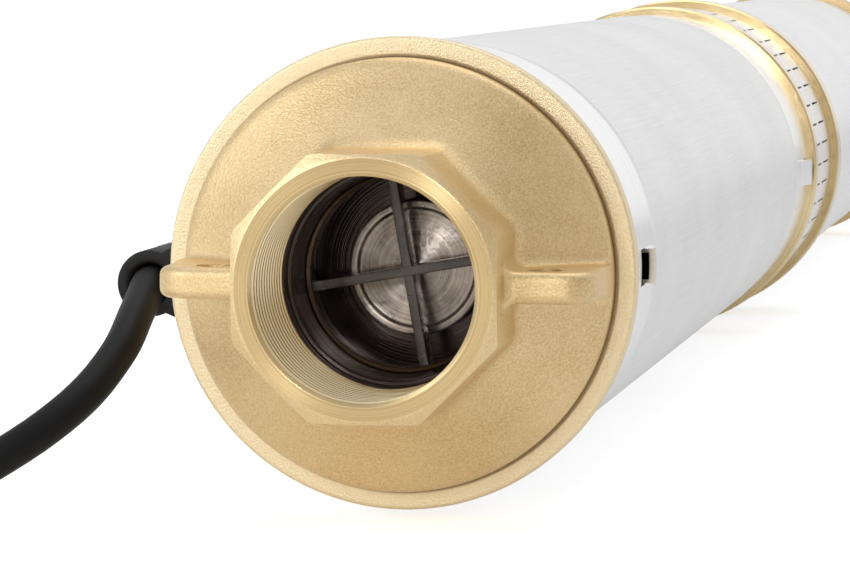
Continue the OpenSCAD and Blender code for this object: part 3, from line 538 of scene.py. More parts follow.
def make_brushing_group():
    """Fine lines along the pump: noise stretched out along Y, with slow smudges beside it."""
    group, given, result = new_group("brushed_lines", {"Lines": 2500.0, "Stretch": 0.012, "Smudge": 18.0},
                                     ["Brushing", "Smudges"])
    x, station, z = split(group, given["Vector"])
    place = join(group, x, times(group, station, given["Stretch"]), z)
    lines = noise_node(group, place, given["Lines"], 3.0, 0.6)
    smudges = noise_node(group, given["Vector"], given["Smudge"], 5.0, 0.6)
    group.links.new(spread(group, lines, 0.3, 0.7, 0, 1), result["Brushing"])
    group.links.new(spread(group, smudges, 0.3, 0.75, 0, 1), result["Smudges"])
    return group


cast_grain = make_grain_group()
turning_marks = make_turning_group()
brushed_lines = make_brushing_group()


# Finishes

class Finish:
    """A material with its Principled shader, Object coordinates and a bump that its textures feed."""

    def __init__(self, name, **sockets):
        self.material = bpy.data.materials.new(name)
        self.material.use_nodes = True
        self.tree = self.material.node_tree
        self.shader = self.tree.nodes["Principled BSDF"]
        for label, value in sockets.items():
            self.shader.inputs[label.replace("_", " ")].default_value = value
        self.place = add(self.tree, "ShaderNodeTexCoord").outputs["Object"]

    def group(self, group, **values):
        """The outputs of a node group that reads the Object coordinates."""
        node = add(self.tree, "ShaderNodeGroup", node_tree=group)
        self.tree.links.new(self.place, node.inputs["Vector"])
        for label, value in values.items():
            node.inputs[label].default_value = value
        return node.outputs

    def mark(self, name):
        """The value that a piece carries under this name."""
        return add(self.tree, "ShaderNodeAttribute", attribute_name=name).outputs["Fac"]

    def link(self, socket, label):
        """Feeds an input of the shader."""
        self.tree.links.new(socket, self.shader.inputs[label])

    def colour(self, factor, a, b):
        """Sets the colour to one between a and b."""
        self.link(colour_mix(self.tree, factor, a, b), "Base Color")

    def rough(self, factor, low, high):
        """Sets the roughness to one between low and high."""
        self.link(spread(self.tree, factor, 0, 1, low, high), "Roughness")

    def turn_tangent(self):
        """Lays the tangent round the pump axis, so reflections are drawn out across the lathe marks."""
        node = add(self.tree, "ShaderNodeTangent", direction_type="RADIAL", axis="Y")
        self.link(node.outputs[0], "Tangent")

    def bump(self, height, distance, strength):
        """Raises the surface by a distance in metres."""
        node = add(self.tree, "ShaderNodeBump")
        node.inputs["Strength"].default_value = strength
        node.inputs["Distance"].default_value = distance
        self.tree.links.new(height, node.inputs["Height"])
        self.link(node.outputs[0], "Normal")


def make_cast_brass():
    """Sand-cast brass, with turned faces where the piece is marked machined, and painted shade in the
    crease at the rim step.
    """
    finish = Finish("cast_brass", Metallic=1.0)
    tree = finish.tree
    grain = finish.group(cast_grain, Grain=2200.0, Mottle=55.0)
    marks = finish.group(turning_marks, Lines=3500.0)["Marks"]
    machined = finish.mark("machined")
    sandy = finish.mark("sandy")
    speckle = times(tree, grain["Grains"], spread(tree, sandy, 0, 1, 0.75, 1.0))
    cast = colour_mix(tree, speckle, BRASS_DEEP, BRASS_LIGHT)
    cast = colour_mix(tree, times(tree, grain["Mottling"], 0.45), cast, BRASS_LIGHT)
    cast = colour_mix(tree, times(tree, sandy, 0.55), cast, BRASS_RIM)
    turned = colour_mix(tree, marks, BRASS_LIGHT, BRASS_TURNED)
    clean = colour_mix(tree, machined, cast, turned)
    # Painted shade: the crease at the foot of the rim step is darkened towards a dark brown
    finish.colour(times(tree, finish.mark("crease_shade"), 0.75), clean, BRASS_CREASE_SHADE)
    cast_rough = spread(tree, grain["Mottling"], 0, 1, 0.36, 0.46)
    turned_rough = spread(tree, marks, 0, 1, 0.20, 0.32)
    finish.link(float_mix(tree, machined, cast_rough, turned_rough), "Roughness")
    finish.bump(float_mix(tree, machined, speckle, times(tree, marks, 0.25)), 0.00012, 0.6)
    return finish.material


def make_face_brass():
    """Turned brass of the outlet's face: its highlights spread across the lathe marks into wedges."""
    finish = Finish("face_brass", Metallic=1.0, Anisotropic=0.85, Anisotropic_Rotation=0.25)
    marks = finish.group(turning_marks, Lines=2500.0)["Marks"]
    grain = finish.group(cast_grain, Grain=900.0, Mottle=120.0)
    finish.colour(times(finish.tree, marks, 0.6), BRASS_FACE, BRASS_LIGHT)
    finish.rough(grain["Mottling"], 0.21, 0.28)
    finish.turn_tangent()
    finish.bump(marks, 0.00002, 0.4)
    return finish.material


def make_turned_brass():
    """Turned brass of the thread."""
    finish = Finish("turned_brass", Metallic=1.0)
    marks = finish.group(turning_marks, Lines=3000.0)["Marks"]
    finish.colour(marks, BRASS_LIGHT, BRASS_TURNED)
    finish.rough(marks, 0.26, 0.38)
    finish.bump(marks, 0.00003, 0.5)
    return finish.material


def make_ring_brass():
    """Smooth turned brass of the suction end's rings, glossier than the sand-cast head."""
    finish = Finish("ring_brass", Metallic=1.0)
    tree = finish.tree
    marks = finish.group(turning_marks, Lines=1200.0)["Marks"]
    grain = finish.group(cast_grain, Grain=700.0, Mottle=25.0)
    tone = plus(tree, times(tree, marks, 0.4), times(tree, grain["Mottling"], 0.6))
    finish.colour(tone, BRASS_RING, BRASS_LIGHT)
    finish.rough(grain["Mottling"], 0.16, 0.26)
    finish.bump(marks, 0.00002, 0.3)
    return finish.material


def make_brushed(name, light, dark, rough_low, rough_high):
    """Satin metal with lines along the pump and faint smudges."""
    finish = Finish(name, Metallic=1.0)
    tree = finish.tree
    lines = finish.group(brushed_lines)
    tone = plus(tree, times(tree, lines["Brushing"], 0.5), times(tree, lines["Smudges"], 0.5))
    finish.colour(tone, dark, light)
    finish.link(spread(tree, tone, 0.1, 0.9, rough_high, rough_low), "Roughness")
    finish.bump(lines["Brushing"], 0.00002, 0.35)
    return finish.material


def make_sleeve_steel():
    """Brushed stainless tube. Its drawn-in ends, told by the station, are smoother and lighter."""
    finish = Finish("sleeve_stainless", Metallic=1.0)
    tree = finish.tree
    lines = finish.group(brushed_lines)
    marks = finish.group(turning_marks, Lines=300.0)["Marks"]
    station = split(tree, finish.place)[1]
    front = spread(tree, station, FRONT_BAND_END * MM, (FRONT_BAND_END + BAND_BLEND) * MM, 1, 0)
    rear = spread(tree, station, (REAR_BAND_S - BAND_BLEND) * MM, REAR_BAND_S * MM, 0, 1)
    band = plus(tree, front, rear)
    tone = plus(tree, times(tree, lines["Brushing"], 0.45), times(tree, lines["Smudges"], 0.55))
    middle = colour_mix(tree, tone, STEEL_DARK, STEEL_LIGHT)
    finish.colour(band, middle, colour_mix(tree, marks, STEEL_LIGHT, STEEL_BAND))
    middle_rough = spread(tree, tone, 0.1, 0.9, 0.42, 0.32)
    finish.link(float_mix(tree, band, middle_rough, spread(tree, marks, 0, 1, 0.19, 0.22)), "Roughness")
    finish.bump(lines["Brushing"], 0.00002, 0.3)
    return finish.material


def make_moulded(name, dark, light, rough_low, rough_high, grain, depth, gloss):
    """Moulded plastic or rubber: two close tones, uneven gloss and a light grain."""
    finish = Finish(name, Specular_IOR_Level=gloss)
    noise = finish.group(cast_grain, Grain=grain, Mottle=45.0)
    finish.colour(noise["Mottling"], dark, light)
    finish.rough(noise["Mottling"], rough_low, rough_high)
    finish.bump(noise["Grains"], depth, 0.5)
    return finish.material


def make_valve_plastic():
    """Glossy dark brown moulding with turned tool marks."""
    finish = Finish("valve_plastic", Coat_Weight=0.15, Coat_Roughness=0.06, Specular_IOR_Level=0.6,
                    Specular_Tint=VALVE_TINT)
    marks = finish.group(turning_marks, Lines=1600.0)["Marks"]
    noise = finish.group(cast_grain, Grain=500.0, Mottle=70.0)
    finish.colour(noise["Mottling"], VALVE_DARK, VALVE_LIGHT)
    finish.rough(noise["Mottling"], 0.12, 0.24)
    finish.bump(plus(finish.tree, marks, times(finish.tree, noise["Mottling"], 1.5)), 0.00006, 0.5)
    return finish.material


def make_rib_plastic():
    """Smoky half-clear moulding of the ribs."""
    finish = Finish("rib_plastic", Coat_Weight=0.4, Coat_Roughness=0.16, Transmission_Weight=0.25)
    noise = finish.group(cast_grain, Grain=900.0, Mottle=160.0)
    finish.colour(noise["Mottling"], RIB_DARK, RIB_LIGHT)
    finish.rough(noise["Mottling"], 0.18, 0.36)
    finish.bump(noise["Mottling"], 0.00012, 0.5)
    return finish.material


def make_poppet_finish():
    """Bright turned disc: its reflections are drawn out across the lathe marks."""
    finish = Finish("turned_poppet", Metallic=0.85, Anisotropic=0.9, Anisotropic_Rotation=0.25)
    tree = finish.tree
    marks = finish.group(turning_marks, Lines=2600.0)["Marks"]
    noise = finish.group(cast_grain, Grain=700.0, Mottle=240.0)
    finish.colour(times(tree, plus(tree, marks, noise["Mottling"]), 0.5), POPPET_DARK, POPPET_LIGHT)
    finish.rough(noise["Mottling"], 0.25, 0.36)
    finish.turn_tangent()
    finish.bump(noise["Mottling"], 0.00010, 0.6)
    return finish.material


finishes = {
    "cast_brass": make_cast_brass(), "turned_brass": make_turned_brass(), "face_brass": make_face_brass(),
    "ring_brass": make_ring_brass(), "sleeve_stainless": make_sleeve_steel(),
    "valve_plastic": make_valve_plastic(), "rib_plastic": make_rib_plastic(),
    "turned_poppet": make_poppet_finish(),
}
finishes.update({name: make_brushed(name, *values) for name, values in BRUSHED.items()})
finishes.update({name: make_moulded(name, *values) for name, values in MOULDED.items()})


def dress_nodes():
    """Gives every CAD node its own finish, or that of its material slot."""
    for row in frame["record"]["subparts"]:
        slot = row["material_slot"]
        finish = NODE_FINISH.get(row["node"], SLOT_FINISH.get(slot, slot))
        mesh = nodes[row["node"]].data
        mesh.materials.clear()
        mesh.materials.append(finishes[finish])


# Cable

def smooth_route(points, step):
    """Points about a step apart on the Catmull-Rom curve through the route."""
    p = np.array(points, float)
    p = np.vstack([2 * p[0] - p[1], p, 2 * p[-1] - p[-2]])
    out = []
    for k in range(1, len(p) - 2):
        a, b, c, d = p[k - 1:k + 3]
        n = max(2, int(np.linalg.norm(c - b) / step))
        f = (np.arange(n) / n)[:, None]
        out.append(0.5 * (2 * b + (c - a) * f + (2 * a - 5 * b + 4 * c - d) * f ** 2
                          + (3 * b - a - 3 * c + d) * f ** 3))
    return np.vstack(out + [p[-2:-1]])


def coil_turns(step):
    """Turns of the coil: inwards on the floor, up one layer, and outwards again on top.

    In the last fifth of each turn the line moves over by one cable, so neighbouring turns stay parallel.
    The tail climbs onto the second layer and ends at TAIL_END.
    """
    outer_r = COIL_MEAN_R + CABLE_D
    per_turn = int(2 * math.pi * COIL_MEAN_R / step)
    tail_turn = (COIL_START - TAIL_END) / 360
    tail_climb = (COIL_START - TAIL_START) / 360 + TAIL_LEAD
    turn = np.arange(0, 2 * COIL_COLUMNS + tail_turn, 1 / per_turn)
    whole = np.floor(turn)
    moved = whole + smooth_step((turn - whole - (1 - COIL_CROSSING)) / COIL_CROSSING)
    inward = np.minimum(moved, COIL_COLUMNS - 1)
    outward_steps = np.clip(moved - COIL_COLUMNS, 0, COIL_COLUMNS - 1)
    climb = smooth_step((turn - COIL_COLUMNS + COIL_CROSSING) / COIL_CROSSING)
    on_top = smooth_step((turn - 2 * COIL_COLUMNS + TAIL_LEAD) / tail_climb)
    r = outer_r - CABLE_D * inward + CABLE_D * outward_steps - CABLE_D * on_top
    z = FLOOR_Z + CABLE_R + CABLE_D * climb + CABLE_D * on_top
    t = np.radians(COIL_START - 360 - 360 * turn)
    return np.stack([COIL_X + r * np.cos(t), COIL_Y + r * np.sin(t), z], -1)


def coil_place(angle, along, up):
    """Points beside the coil's middle line at an angle: along the radius and up from the floor."""
    t = np.radians(angle)
    r = COIL_MEAN_R + along
    return np.stack([COIL_X + r * np.cos(t), COIL_Y + r * np.sin(t), FLOOR_Z + up + 0 * t], -1)


def make_rod(name, line, radius, finish):
    """A round rod along a level line, closed at both ends: the point at angle t is the line, plus the
    radius times cos t to the side, plus the radius times sin t upwards."""
    way = unit(np.gradient(line, axis=0))
    side = unit(np.cross(way, (0, 0, 1)))
    over = np.cross(side, way)
    t = round_angles(ROD_SIDES)[None, :, None]
    wall = line[:, None] + radius * (side[:, None] * np.cos(t) + over[:, None] * np.sin(t))
    return make_piece(name, close_ends(wall, line[0], line[-1]), "casing", finish, ring=False)


def core_line(turn, start, end):
    """Middle line of the core at an angle in the cable's section, between two shares of its length.

    It spreads to the side and settles a little onto the coil.
    """
    f = np.linspace(start, end, 24)
    along = CORE_OFFSET * math.cos(turn) * (1 + CORE_SPREAD * smooth_step(f))
    up = TOP_LAYER + CORE_OFFSET * math.sin(turn) * (1 - CORE_GATHER * f) - np.maximum(f, 0) ** 2
    return coil_place(TAIL_END - CORE_ANGLE * f, along, up)


def make_cores():
    """Three insulated cores that fan out of the lead's end on top of the coil, each with a bare strand."""
    pieces = []
    for k, colour in enumerate(("core_brown", "core_blue", "core_green")):
        turn = math.radians(90 + 120 * k)
        jacket = core_line(turn, -0.1, 0.7)
        strand = core_line(turn, 0.62, 1.0)
        pieces.append(make_rod(f"core_{k + 1}", jacket, CORE_R, colour))
        pieces.append(make_rod(f"strand_{k + 1}", strand, STRAND_R, "copper_winding"))
    return pieces


def make_coil_band(name, angle, over_tail):
    """A rubber band round the coil's section: a flat strip carried along the outline round its turns."""
    wrap = CABLE_R + BAND_T / 2 + BAND_GAP
    side = CABLE_D + wrap
    low = BAND_T / 2
    second = 1.5 * CABLE_D
    shift = wrap * (math.sqrt(2) - 1)
    outline = [(-side, low, CABLE_R), (side, low, CABLE_R)]
    if over_tail:
        top = TOP_LAYER + wrap
        outline += [(side, second + shift, wrap), (shift, top, wrap)]
        outline += [(-shift, top, wrap), (-side, second + shift, wrap)]
    else:
        outline += [(side, second + wrap, wrap), (-side, second + wrap, wrap)]
    loop = refine(rounded_loop(outline, 9), 3.0)
    way = unit(np.roll(loop, -1, axis=0) - np.roll(loop, 1, axis=0))
    strip = box_loop(BAND_W / 2, -BAND_T / 2, BAND_T / 2, BAND_EDGE, 4)
    along = loop[:, :1] + way[:, 1:] * strip[:, 1]
    up = loop[:, 1:] - way[:, :1] * strip[:, 1]
    tangent = np.array([-math.sin(math.radians(angle)), math.cos(math.radians(angle)), 0])
    grid = coil_place(np.full(along.shape, angle), along, up) + strip[:, 0][None, :, None] * tangent
    return make_piece(name, grid, "casing", "black_rubber")


def make_cable():
    """The lead: out of its holder, down to the floor and into a neat coil that ends in three cores."""
    route = smooth_route(CABLE_ROUTE + [COIL_ENTRY], CABLE_STEP)
    line = np.vstack([route, coil_turns(CABLE_STEP)]) * MM
    curve = bpy.data.curves.new("supply_lead", "CURVE")
    curve.dimensions = "3D"
    spline = curve.splines.new("POLY")
    spline.points.add(len(line) - 1)
    spline.points.foreach_set("co", np.hstack([line, np.ones((len(line), 1))]).astype(np.float32).ravel())
    curve.bevel_depth = CABLE_R * MM
    curve.bevel_resolution = 6
    curve.use_fill_caps = True
    curve.materials.append(finishes["cable_jacket"])
    lead = new_object("supply_lead", curve)
    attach(lead, "casing")
    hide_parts("supply_cable", "cable_coil", "cable_tail")
    lead.visible_glossy = False
    on_lead = make_cores()
    on_lead += [make_coil_band(name, *values) for name, values in BANDS.items()]


make_camera()
dress_nodes()
make_cable()


# Outlet head

def cone_station(r):
    """Station of the bell between the shoulder and the octagon: a line with a little upward sweep."""
    q = (SHOULDER_R - r) / (SHOULDER_R - BOSS_FLAT)
    return SHOULDER_S - (SHOULDER_S - BOSS_LEN) * (0.8 * q + 0.2 * q * q)


def octagon_radius(angle):
    """Distance from the axis to the octagon, with its corners turned off at BOSS_CORNER_R."""
    eighth = np.radians(45)
    off = (angle + eighth / 2) % eighth - eighth / 2
    return np.minimum(BOSS_FLAT / np.cos(off), BOSS_CORNER_R)


class HeadLines:
    """The lines that run over the head from its bore to its rim.

    Beside a lug they lie at a constant height z, and elsewhere they fan out from the octagon to the
    shoulder. kind says which part of a lug's section a line lies on: ground, foot fillet, side wall, edge
    round or top. share is how far it is across that part.
    """

    def __init__(self):
        parts = (("ground", 6), ("foot", 6), ("wall", 6), ("edge", 6), ("top", 5))
        half_kind = [kind for kind, steps in parts for _ in range(steps)]
        half_share = [k / steps for _, steps in parts for k in range(steps)]
        count = len(half_kind)
        even = LUG_ZONE * (1 - np.arange(count) / count)
        zone_z = np.concatenate([-even, [0], even[::-1]])
        edge_in = math.degrees(math.atan2(LUG_ZONE, BOSS_FLAT))
        edge_out = math.degrees(math.asin(LUG_ZONE / SHOULDER_R))
        corner_half = 22.5 - math.degrees(math.acos(BOSS_FLAT / BOSS_CORNER_R))
        fan = set(np.linspace(edge_in, 180 - edge_in, 112)[1:-1].round(4))
        for corner in (22.5, 67.5, 112.5, 157.5):
            fan |= {corner - corner_half, corner, corner + corner_half}
        fan_in = np.array(sorted(fan))
        fan_out = 90 + (fan_in - 90) * (90 - edge_out) / (90 - edge_in)
        half_in = np.concatenate([np.degrees(np.arctan2(zone_z, BOSS_FLAT)), fan_in])
        half_out = np.concatenate([np.degrees(np.arcsin(zone_z / SHOULDER_R)), fan_out])
        zeros = [0] * len(fan_in)
        self.kind = np.array(2 * (half_kind + ["top"] + half_kind[::-1] + ["fan"] * len(fan_in)))
        self.share = np.array(2 * (half_share + [1] + half_share[::-1] + zeros), float)
        self.sign = np.array(2 * ([-1] * count + [0] + [1] * count + zeros), float)
        self.angle_in = np.radians(np.concatenate([half_in, half_in + 180]))
        self.angle_out = np.radians(np.concatenate([half_out, half_out + 180]))
        self.side = np.where(np.cos(self.angle_in) > 0, 1.0, -1.0)


def head_skin(lines):
    """Rows of points over the head between the octagon wall's foot and the shoulder, one for each step.

    Every row is (x, station, z) for each line. A line on the ground follows the bell, with a fillet at the
    octagon and a curve over the shoulder. A lug's top runs along its front face, round its corner and down
    its outer wall, and the lines on its side lie between the two.
    """
    a = arc(0, 90, 9)
    fillet_run = BOSS_FILLET * (1 - np.cos(a))
    fillet_rise = BOSS_FILLET * (1 - np.sin(a))
    reach = SHOULDER_R - BOSS_FLAT
    corner_x = SHOULDER_R - LUG_CORNER_R
    flat_x = np.linspace(BOSS_FLAT + BOSS_FILLET, corner_x, 15)[1:]
    b = arc(0, 90, 13)[1:]
    shoulder_low = SHOULDER_S + SHOULDER_ROUND
    down = np.linspace(LUG_FRONT + LUG_CORNER_R, shoulder_low, 15)[1:]
    front_count = len(a) + len(flat_x)
    wall_count = len(down)

    top_x = column(BOSS_FLAT + fillet_run, flat_x, corner_x + LUG_CORNER_R * np.sin(b),
                   np.full(wall_count, SHOULDER_R))
    top_s = column(LUG_FRONT - fillet_rise, np.full(len(flat_x), LUG_FRONT),
                   LUG_FRONT + LUG_CORNER_R * (1 - np.cos(b)), down)
    normal_x = column(np.zeros(front_count), np.sin(b), np.ones(wall_count))
    normal_s = column(-np.ones(front_count), -np.cos(b), np.zeros(wall_count))

    bend_from = 1 - 2 * SHOULDER_ROUND / reach
    go = column(fillet_run / reach, (flat_x - BOSS_FLAT) / reach,
                np.linspace((corner_x - BOSS_FLAT) / reach, bend_from, len(b) + 1)[1:],
                np.full(wall_count, bend_from))
    bend = column(np.zeros(len(go) - wall_count), np.linspace(0, 1, wall_count + 1)[1:])
    rise = column(fillet_rise, np.zeros(len(go) - len(a)))

    def ground(start_x, start_z, end_x, end_z):
        x = start_x + (end_x - start_x) * go
        z = start_z + (end_z - start_z) * go
        s = cone_station(np.hypot(x, z)) - rise
        s = bezier(s, SHOULDER_S, shoulder_low, bend)
        return bezier(x, end_x, end_x, bend), s, bezier(z, end_z, end_z, bend)

    # Lines that fan out
    fan_r = octagon_radius(lines.angle_in)
    x, s, z = ground(fan_r * np.cos(lines.angle_in), fan_r * np.sin(lines.angle_in),
                     SHOULDER_R * np.cos(lines.angle_out), SHOULDER_R * np.sin(lines.angle_out))

    # Lines across a lug, worked out for the lug at +X and turned round for the other
    across = lines.kind != "fan"
    kind, share, side = lines.kind[across], lines.share[across], lines.side[across]
    on = [kind == part for part in ("ground", "foot", "wall", "edge")]
    ground_x = BOSS_FLAT + reach * go
    full = np.hypot(top_x - ground_x, top_s - cone_station(ground_x)) * (1 - bend)
    fade = np.clip(full / (2.5 * (LUG_FOOT + LUG_EDGE)), 0, 1)
    foot, edge = LUG_FOOT * fade, LUG_EDGE * fade
    side_z = LUG_HALF + rise
    quarter = share * math.pi / 2
    height = np.select(on, [
        LUG_ZONE + (side_z + foot - LUG_ZONE) * share, side_z + foot * (1 - np.sin(quarter)),
        side_z + 0 * share, side_z - edge * (1 - np.cos(quarter))], (side_z - edge) * (1 - share))
    out_x = np.sqrt(SHOULDER_R ** 2 - height ** 2)
    low_x, low_s, _ = ground(BOSS_FLAT + 0 * height, height, out_x, height)
    high_x = top_x - (SHOULDER_R - out_x) * (top_x - BOSS_FLAT) / reach
    high_s = top_s + 0 * height
    brink_x = high_x - edge * normal_x
    brink_s = high_s - edge * normal_s
    gap = np.maximum(np.hypot(brink_x - low_x, brink_s - low_s), 1e-9)
    lift = foot * (1 - np.cos(quarter))
    drop = edge * (1 - np.sin(quarter))

    def over_lug(low, brink, high, normal):
        way = (brink - low) / gap
        wall = low + foot * way
        wall = wall + (brink - wall) * share
        return np.select(on, [low, low + lift * way, wall, high - drop * normal], high)

    x[:, across] = over_lug(low_x, brink_x, high_x, normal_x) * side
    s[:, across] = over_lug(low_s, brink_s, high_s, normal_s)
    z[:, across] = height * lines.sign[across] * side
    return np.stack([x, s, z], -1)


def head_points(lines):
    """All rows of the head, from the bore over the face, skin, rim and spigot and back by the chamber.

    The other result marks each row as machined, as the sandy rim and as the crease at the rim step, where
    shade is painted in.
    """
    rows, marks = [], []
    inner, outer = lines.angle_in, lines.angle_out

    def keep(row, machined=0, sandy=0, crease_shade=0):
        rows.append(row)
        marks.append((machined, sandy, crease_shade))

    def ring(r, s, angle, *mark):
        r, s, angle = np.broadcast_arrays(r, s, angle)
        keep(np.stack([r * np.cos(angle), s, r * np.sin(angle)], -1), *mark)

    skin = head_skin(lines)
    boss_r = octagon_radius(inner)
    brow = (boss_r - FACE_R) * FACE_CHAMFER
    for s in np.linspace(OUTLET_DEPTH, MOUTH_DEPTH + 1.0, 8):
        ring(BORE_R, s, inner, 1)
    ring(THREAD_CREST_R + 0.1, MOUTH_DEPTH + 0.3, inner, 1)
    for f in (0.0, 0.06, 0.5, 0.94, 1.0):
        ring(THREAD_CREST_R + (MOUTH_R - THREAD_CREST_R) * f, MOUTH_DEPTH * (1 - f), inner, 1)
    for r in (MOUTH_R + 0.1, FACE_R - 0.12):
        ring(r, 0, inner, 1)
    for f in np.linspace(0, 1, 4):
        ring(FACE_R + (boss_r - FACE_R) * f, brow * f, inner, 0.3)
    crown = rows[-1]
    for f in (0.03, 0.12, 0.3, 0.5, 0.7, 0.88):
        keep(crown + (skin[0] - crown) * f)
    for row in skin:
        keep(row)
    low = np.arctan2(skin[-1][:, 2], skin[-1][:, 0])
    low = outer + (low - outer + math.pi) % (2 * math.pi) - math.pi
    low_s = skin[-1][0, 1]
    # Rows down the shoulder and round the crease at the rim step carry painted shade, full in the crease
    for f in (0.35, 0.7, 1.0):
        ring(SHOULDER_R, low_s + (RIM_S - CREASE_R - low_s) * f, low + (outer - low) * f, 0, 0, f)
    for a in arc(22, 90, 4):
        ring(SHOULDER_R + CREASE_R * (1 - math.cos(a)), RIM_S - CREASE_R * (1 - math.sin(a)), outer,
             0, 0.4, 1)
    for r in np.linspace(SHOULDER_R + 0.9, RIM_R - RIM_ROUND, 6):
        ring(r, RIM_S, outer, 0, 1)
    for a in arc(18, 90, 5):
        ring(RIM_R - RIM_ROUND * (1 - math.sin(a)), RIM_S + RIM_ROUND * (1 - math.cos(a)), outer, 0, 1)
    for s in np.linspace(RIM_S + 1.5, SLEEVE_S - 1.2, 4):
        ring(RIM_R, s, outer, 0, 0.6)
    for r, s in ((RIM_R - 0.1, SLEEVE_S - 0.7), (RIM_R - 0.8, SLEEVE_S), (SPIGOT_R, SLEEVE_S),
                 (SPIGOT_R, SPIGOT_END), (SPIGOT_BORE_R, SPIGOT_END), (SPIGOT_BORE_R, POCKET_S),
                 (NECK_R, POCKET_S), (NECK_R, NECK_END), (CHAMBER_R, NECK_END),
                 (CHAMBER_R, OUTLET_DEPTH)):
        ring(r, s, outer, 1)
    return np.array(rows), np.array(marks, float)


def cut_eyes(head):
    """Drills the two rope eyes with round cutters, and keeps the result as the head's own mesh."""
    t = round_angles(EYE_STEPS)
    k = np.arange(EYE_STEPS)
    k2 = (k + 1) % EYE_STEPS
    under = np.full(EYE_STEPS, 2 * EYE_STEPS)
    wall = np.stack([k, k2, k2 + EYE_STEPS, k + EYE_STEPS], -1)
    bottom = np.stack([k2, k, under], -1)
    top = np.stack([k + EYE_STEPS, k2 + EYE_STEPS, under + 1], -1)
    faces = wall.tolist() + bottom.tolist() + top.tolist()
    cutters = []
    for x in (EYE_X, -EYE_X):
        rim = np.stack([x + EYE_R * np.cos(t), EYE_S + EYE_R * np.sin(t), 0 * t], -1)
        middle = np.array([[x, EYE_S, 0.0]])
        points = np.vstack([part + (0, 0, z) for part in (rim, middle) for z in (-EYE_CUT, EYE_CUT)])
        mesh = bpy.data.meshes.new("eye_cutter")
        mesh.from_pydata((points * MM).tolist(), [], faces)
        cutter = new_object("eye_cutter", mesh)
        cut = head.modifiers.new("eye", "BOOLEAN")
        cut.operation = "DIFFERENCE"
        cut.solver = "EXACT"
        cut.object = cutter
        cutters.append(cutter)
    shaped = bpy.data.meshes.new_from_object(head.evaluated_get(bpy.context.evaluated_depsgraph_get()))
    head.modifiers.clear()
    head.data = shaped
    for cutter in cutters:
        bpy.data.objects.remove(cutter)
    shaped.shade_smooth()
    shaped.set_sharp_from_angle(angle=math.radians(40))


def turn_face(mesh):
    """Gives the turned finish to the faces inside the face circle, in front of the valve."""
    mesh.materials.append(finishes["face_brass"])
    middles = np.empty(len(mesh.polygons) * 3, np.float32)
    mesh.polygons.foreach_get("center", middles)
    x, s, z = middles.reshape(-1, 3).T / MM
    inside = (np.hypot(x, z) < FACE_R) & (s < OUTLET_DEPTH)
    mesh.polygons.foreach_set("material_index", inside.astype(np.int32))


def make_head():
    """The casting as one skin from its bore over its face, bell, lugs and rim to its spigot."""
    grid, row_marks = head_points(HeadLines())
    marks = dict(zip(("machined", "sandy", "crease_shade"), np.repeat(row_marks, grid.shape[1], axis=0).T))
    head = make_piece("outlet_head", grid, "casing", "cast_brass", marks=marks)
    cut_eyes(head)
    turn_face(head.data)
    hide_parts("discharge_head")


def make_thread():
    """Pipe thread: a ridge with a flat crest along a helix, sinking into the wall at both ends."""
    turns = (OUTLET_DEPTH - MOUTH_DEPTH - THREAD_MARGIN) / THREAD_PITCH
    n = int(turns * THREAD_STEPS)
    turn = np.arange(n + 1)[:, None] / THREAD_STEPS
    t = 2 * math.pi * turn
    fade = smooth_step(turn / THREAD_FADE) * smooth_step((turns - turn) / THREAD_FADE)
    depth, across = np.array(THREAD_SECTION).T
    r = BORE_R + np.where(depth < 0, depth * (BORE_R - THREAD_CREST_R) * fade, depth)
    s = MOUTH_DEPTH + THREAD_START + THREAD_PITCH * turn + across
    grid = np.stack([r * np.cos(t), s, r * np.sin(t)], -1)
    first = np.array([[0, 1, 6, 7], [1, 2, 5, 6], [2, 3, 4, 5]])
    caps = np.vstack([first, first[:, ::-1] + n * len(depth)])
    make_piece("outlet_thread", grid, "casing", "turned_brass",
               ring=False, caps=caps, sharp=35)


# Check valve

def make_cage():
    """Ring of the valve cage, with a lip in front, a stepped throat and a wider chamber behind the ribs."""
    outer_r = CHAMBER_R - 0.1
    lip_end = OUTLET_DEPTH + CAGE_LIP_LEN
    cage = lathe("valve_cage_ring", [
        (CAGE_LIP_R, OUTLET_DEPTH, 0.4), (CAGE_LIP_R, lip_end, 0.2), (CAGE_LIP_R - 0.8, lip_end, 0.3),
        (CAGE_THROAT_R + 0.9, RIB_FRONT - 4, 0.3), (CAGE_THROAT_R, RIB_FRONT - 3.6, 0.3),
        (CAGE_THROAT_R, RIB_FRONT + 0.9, 0.3), (CAGE_WALL_R, RIB_FRONT + 2.4, 0.3),
        (CAGE_WALL_R, CAGE_END, 0.1), (outer_r, CAGE_END, 0.1), (outer_r, OUTLET_DEPTH, 0.3)],
        "casing", "valve_plastic", 160, 6.0)
    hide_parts("valve_cage")


def make_ribs():
    """Two crossed ribs: a rounded rectangle carried straight across the cage, closed at both ends."""
    along = np.linspace(-CAGE_WALL_R - RIB_ROOT, CAGE_WALL_R + RIB_ROOT, 24)[:, None]
    for k, turn in enumerate((RIB_TURN, RIB_TURN + 90)):
        across, s = box_loop(RIB_T / 2, RIB_FRONT + RIB_SHIFT * k, RIB_BACK - RIB_SHIFT * k, RIB_EDGE).T
        t = math.radians(turn)
        x = along * math.cos(t) - across * math.sin(t)
        z = along * math.sin(t) + across * math.cos(t)
        grid = np.stack([x, s + 0 * x, z], -1)
        grid = close_ends(grid, grid[0].mean(0), grid[-1].mean(0))
        make_piece(f"valve_rib_{k + 1}", grid, "casing", "rib_plastic", ring=False)


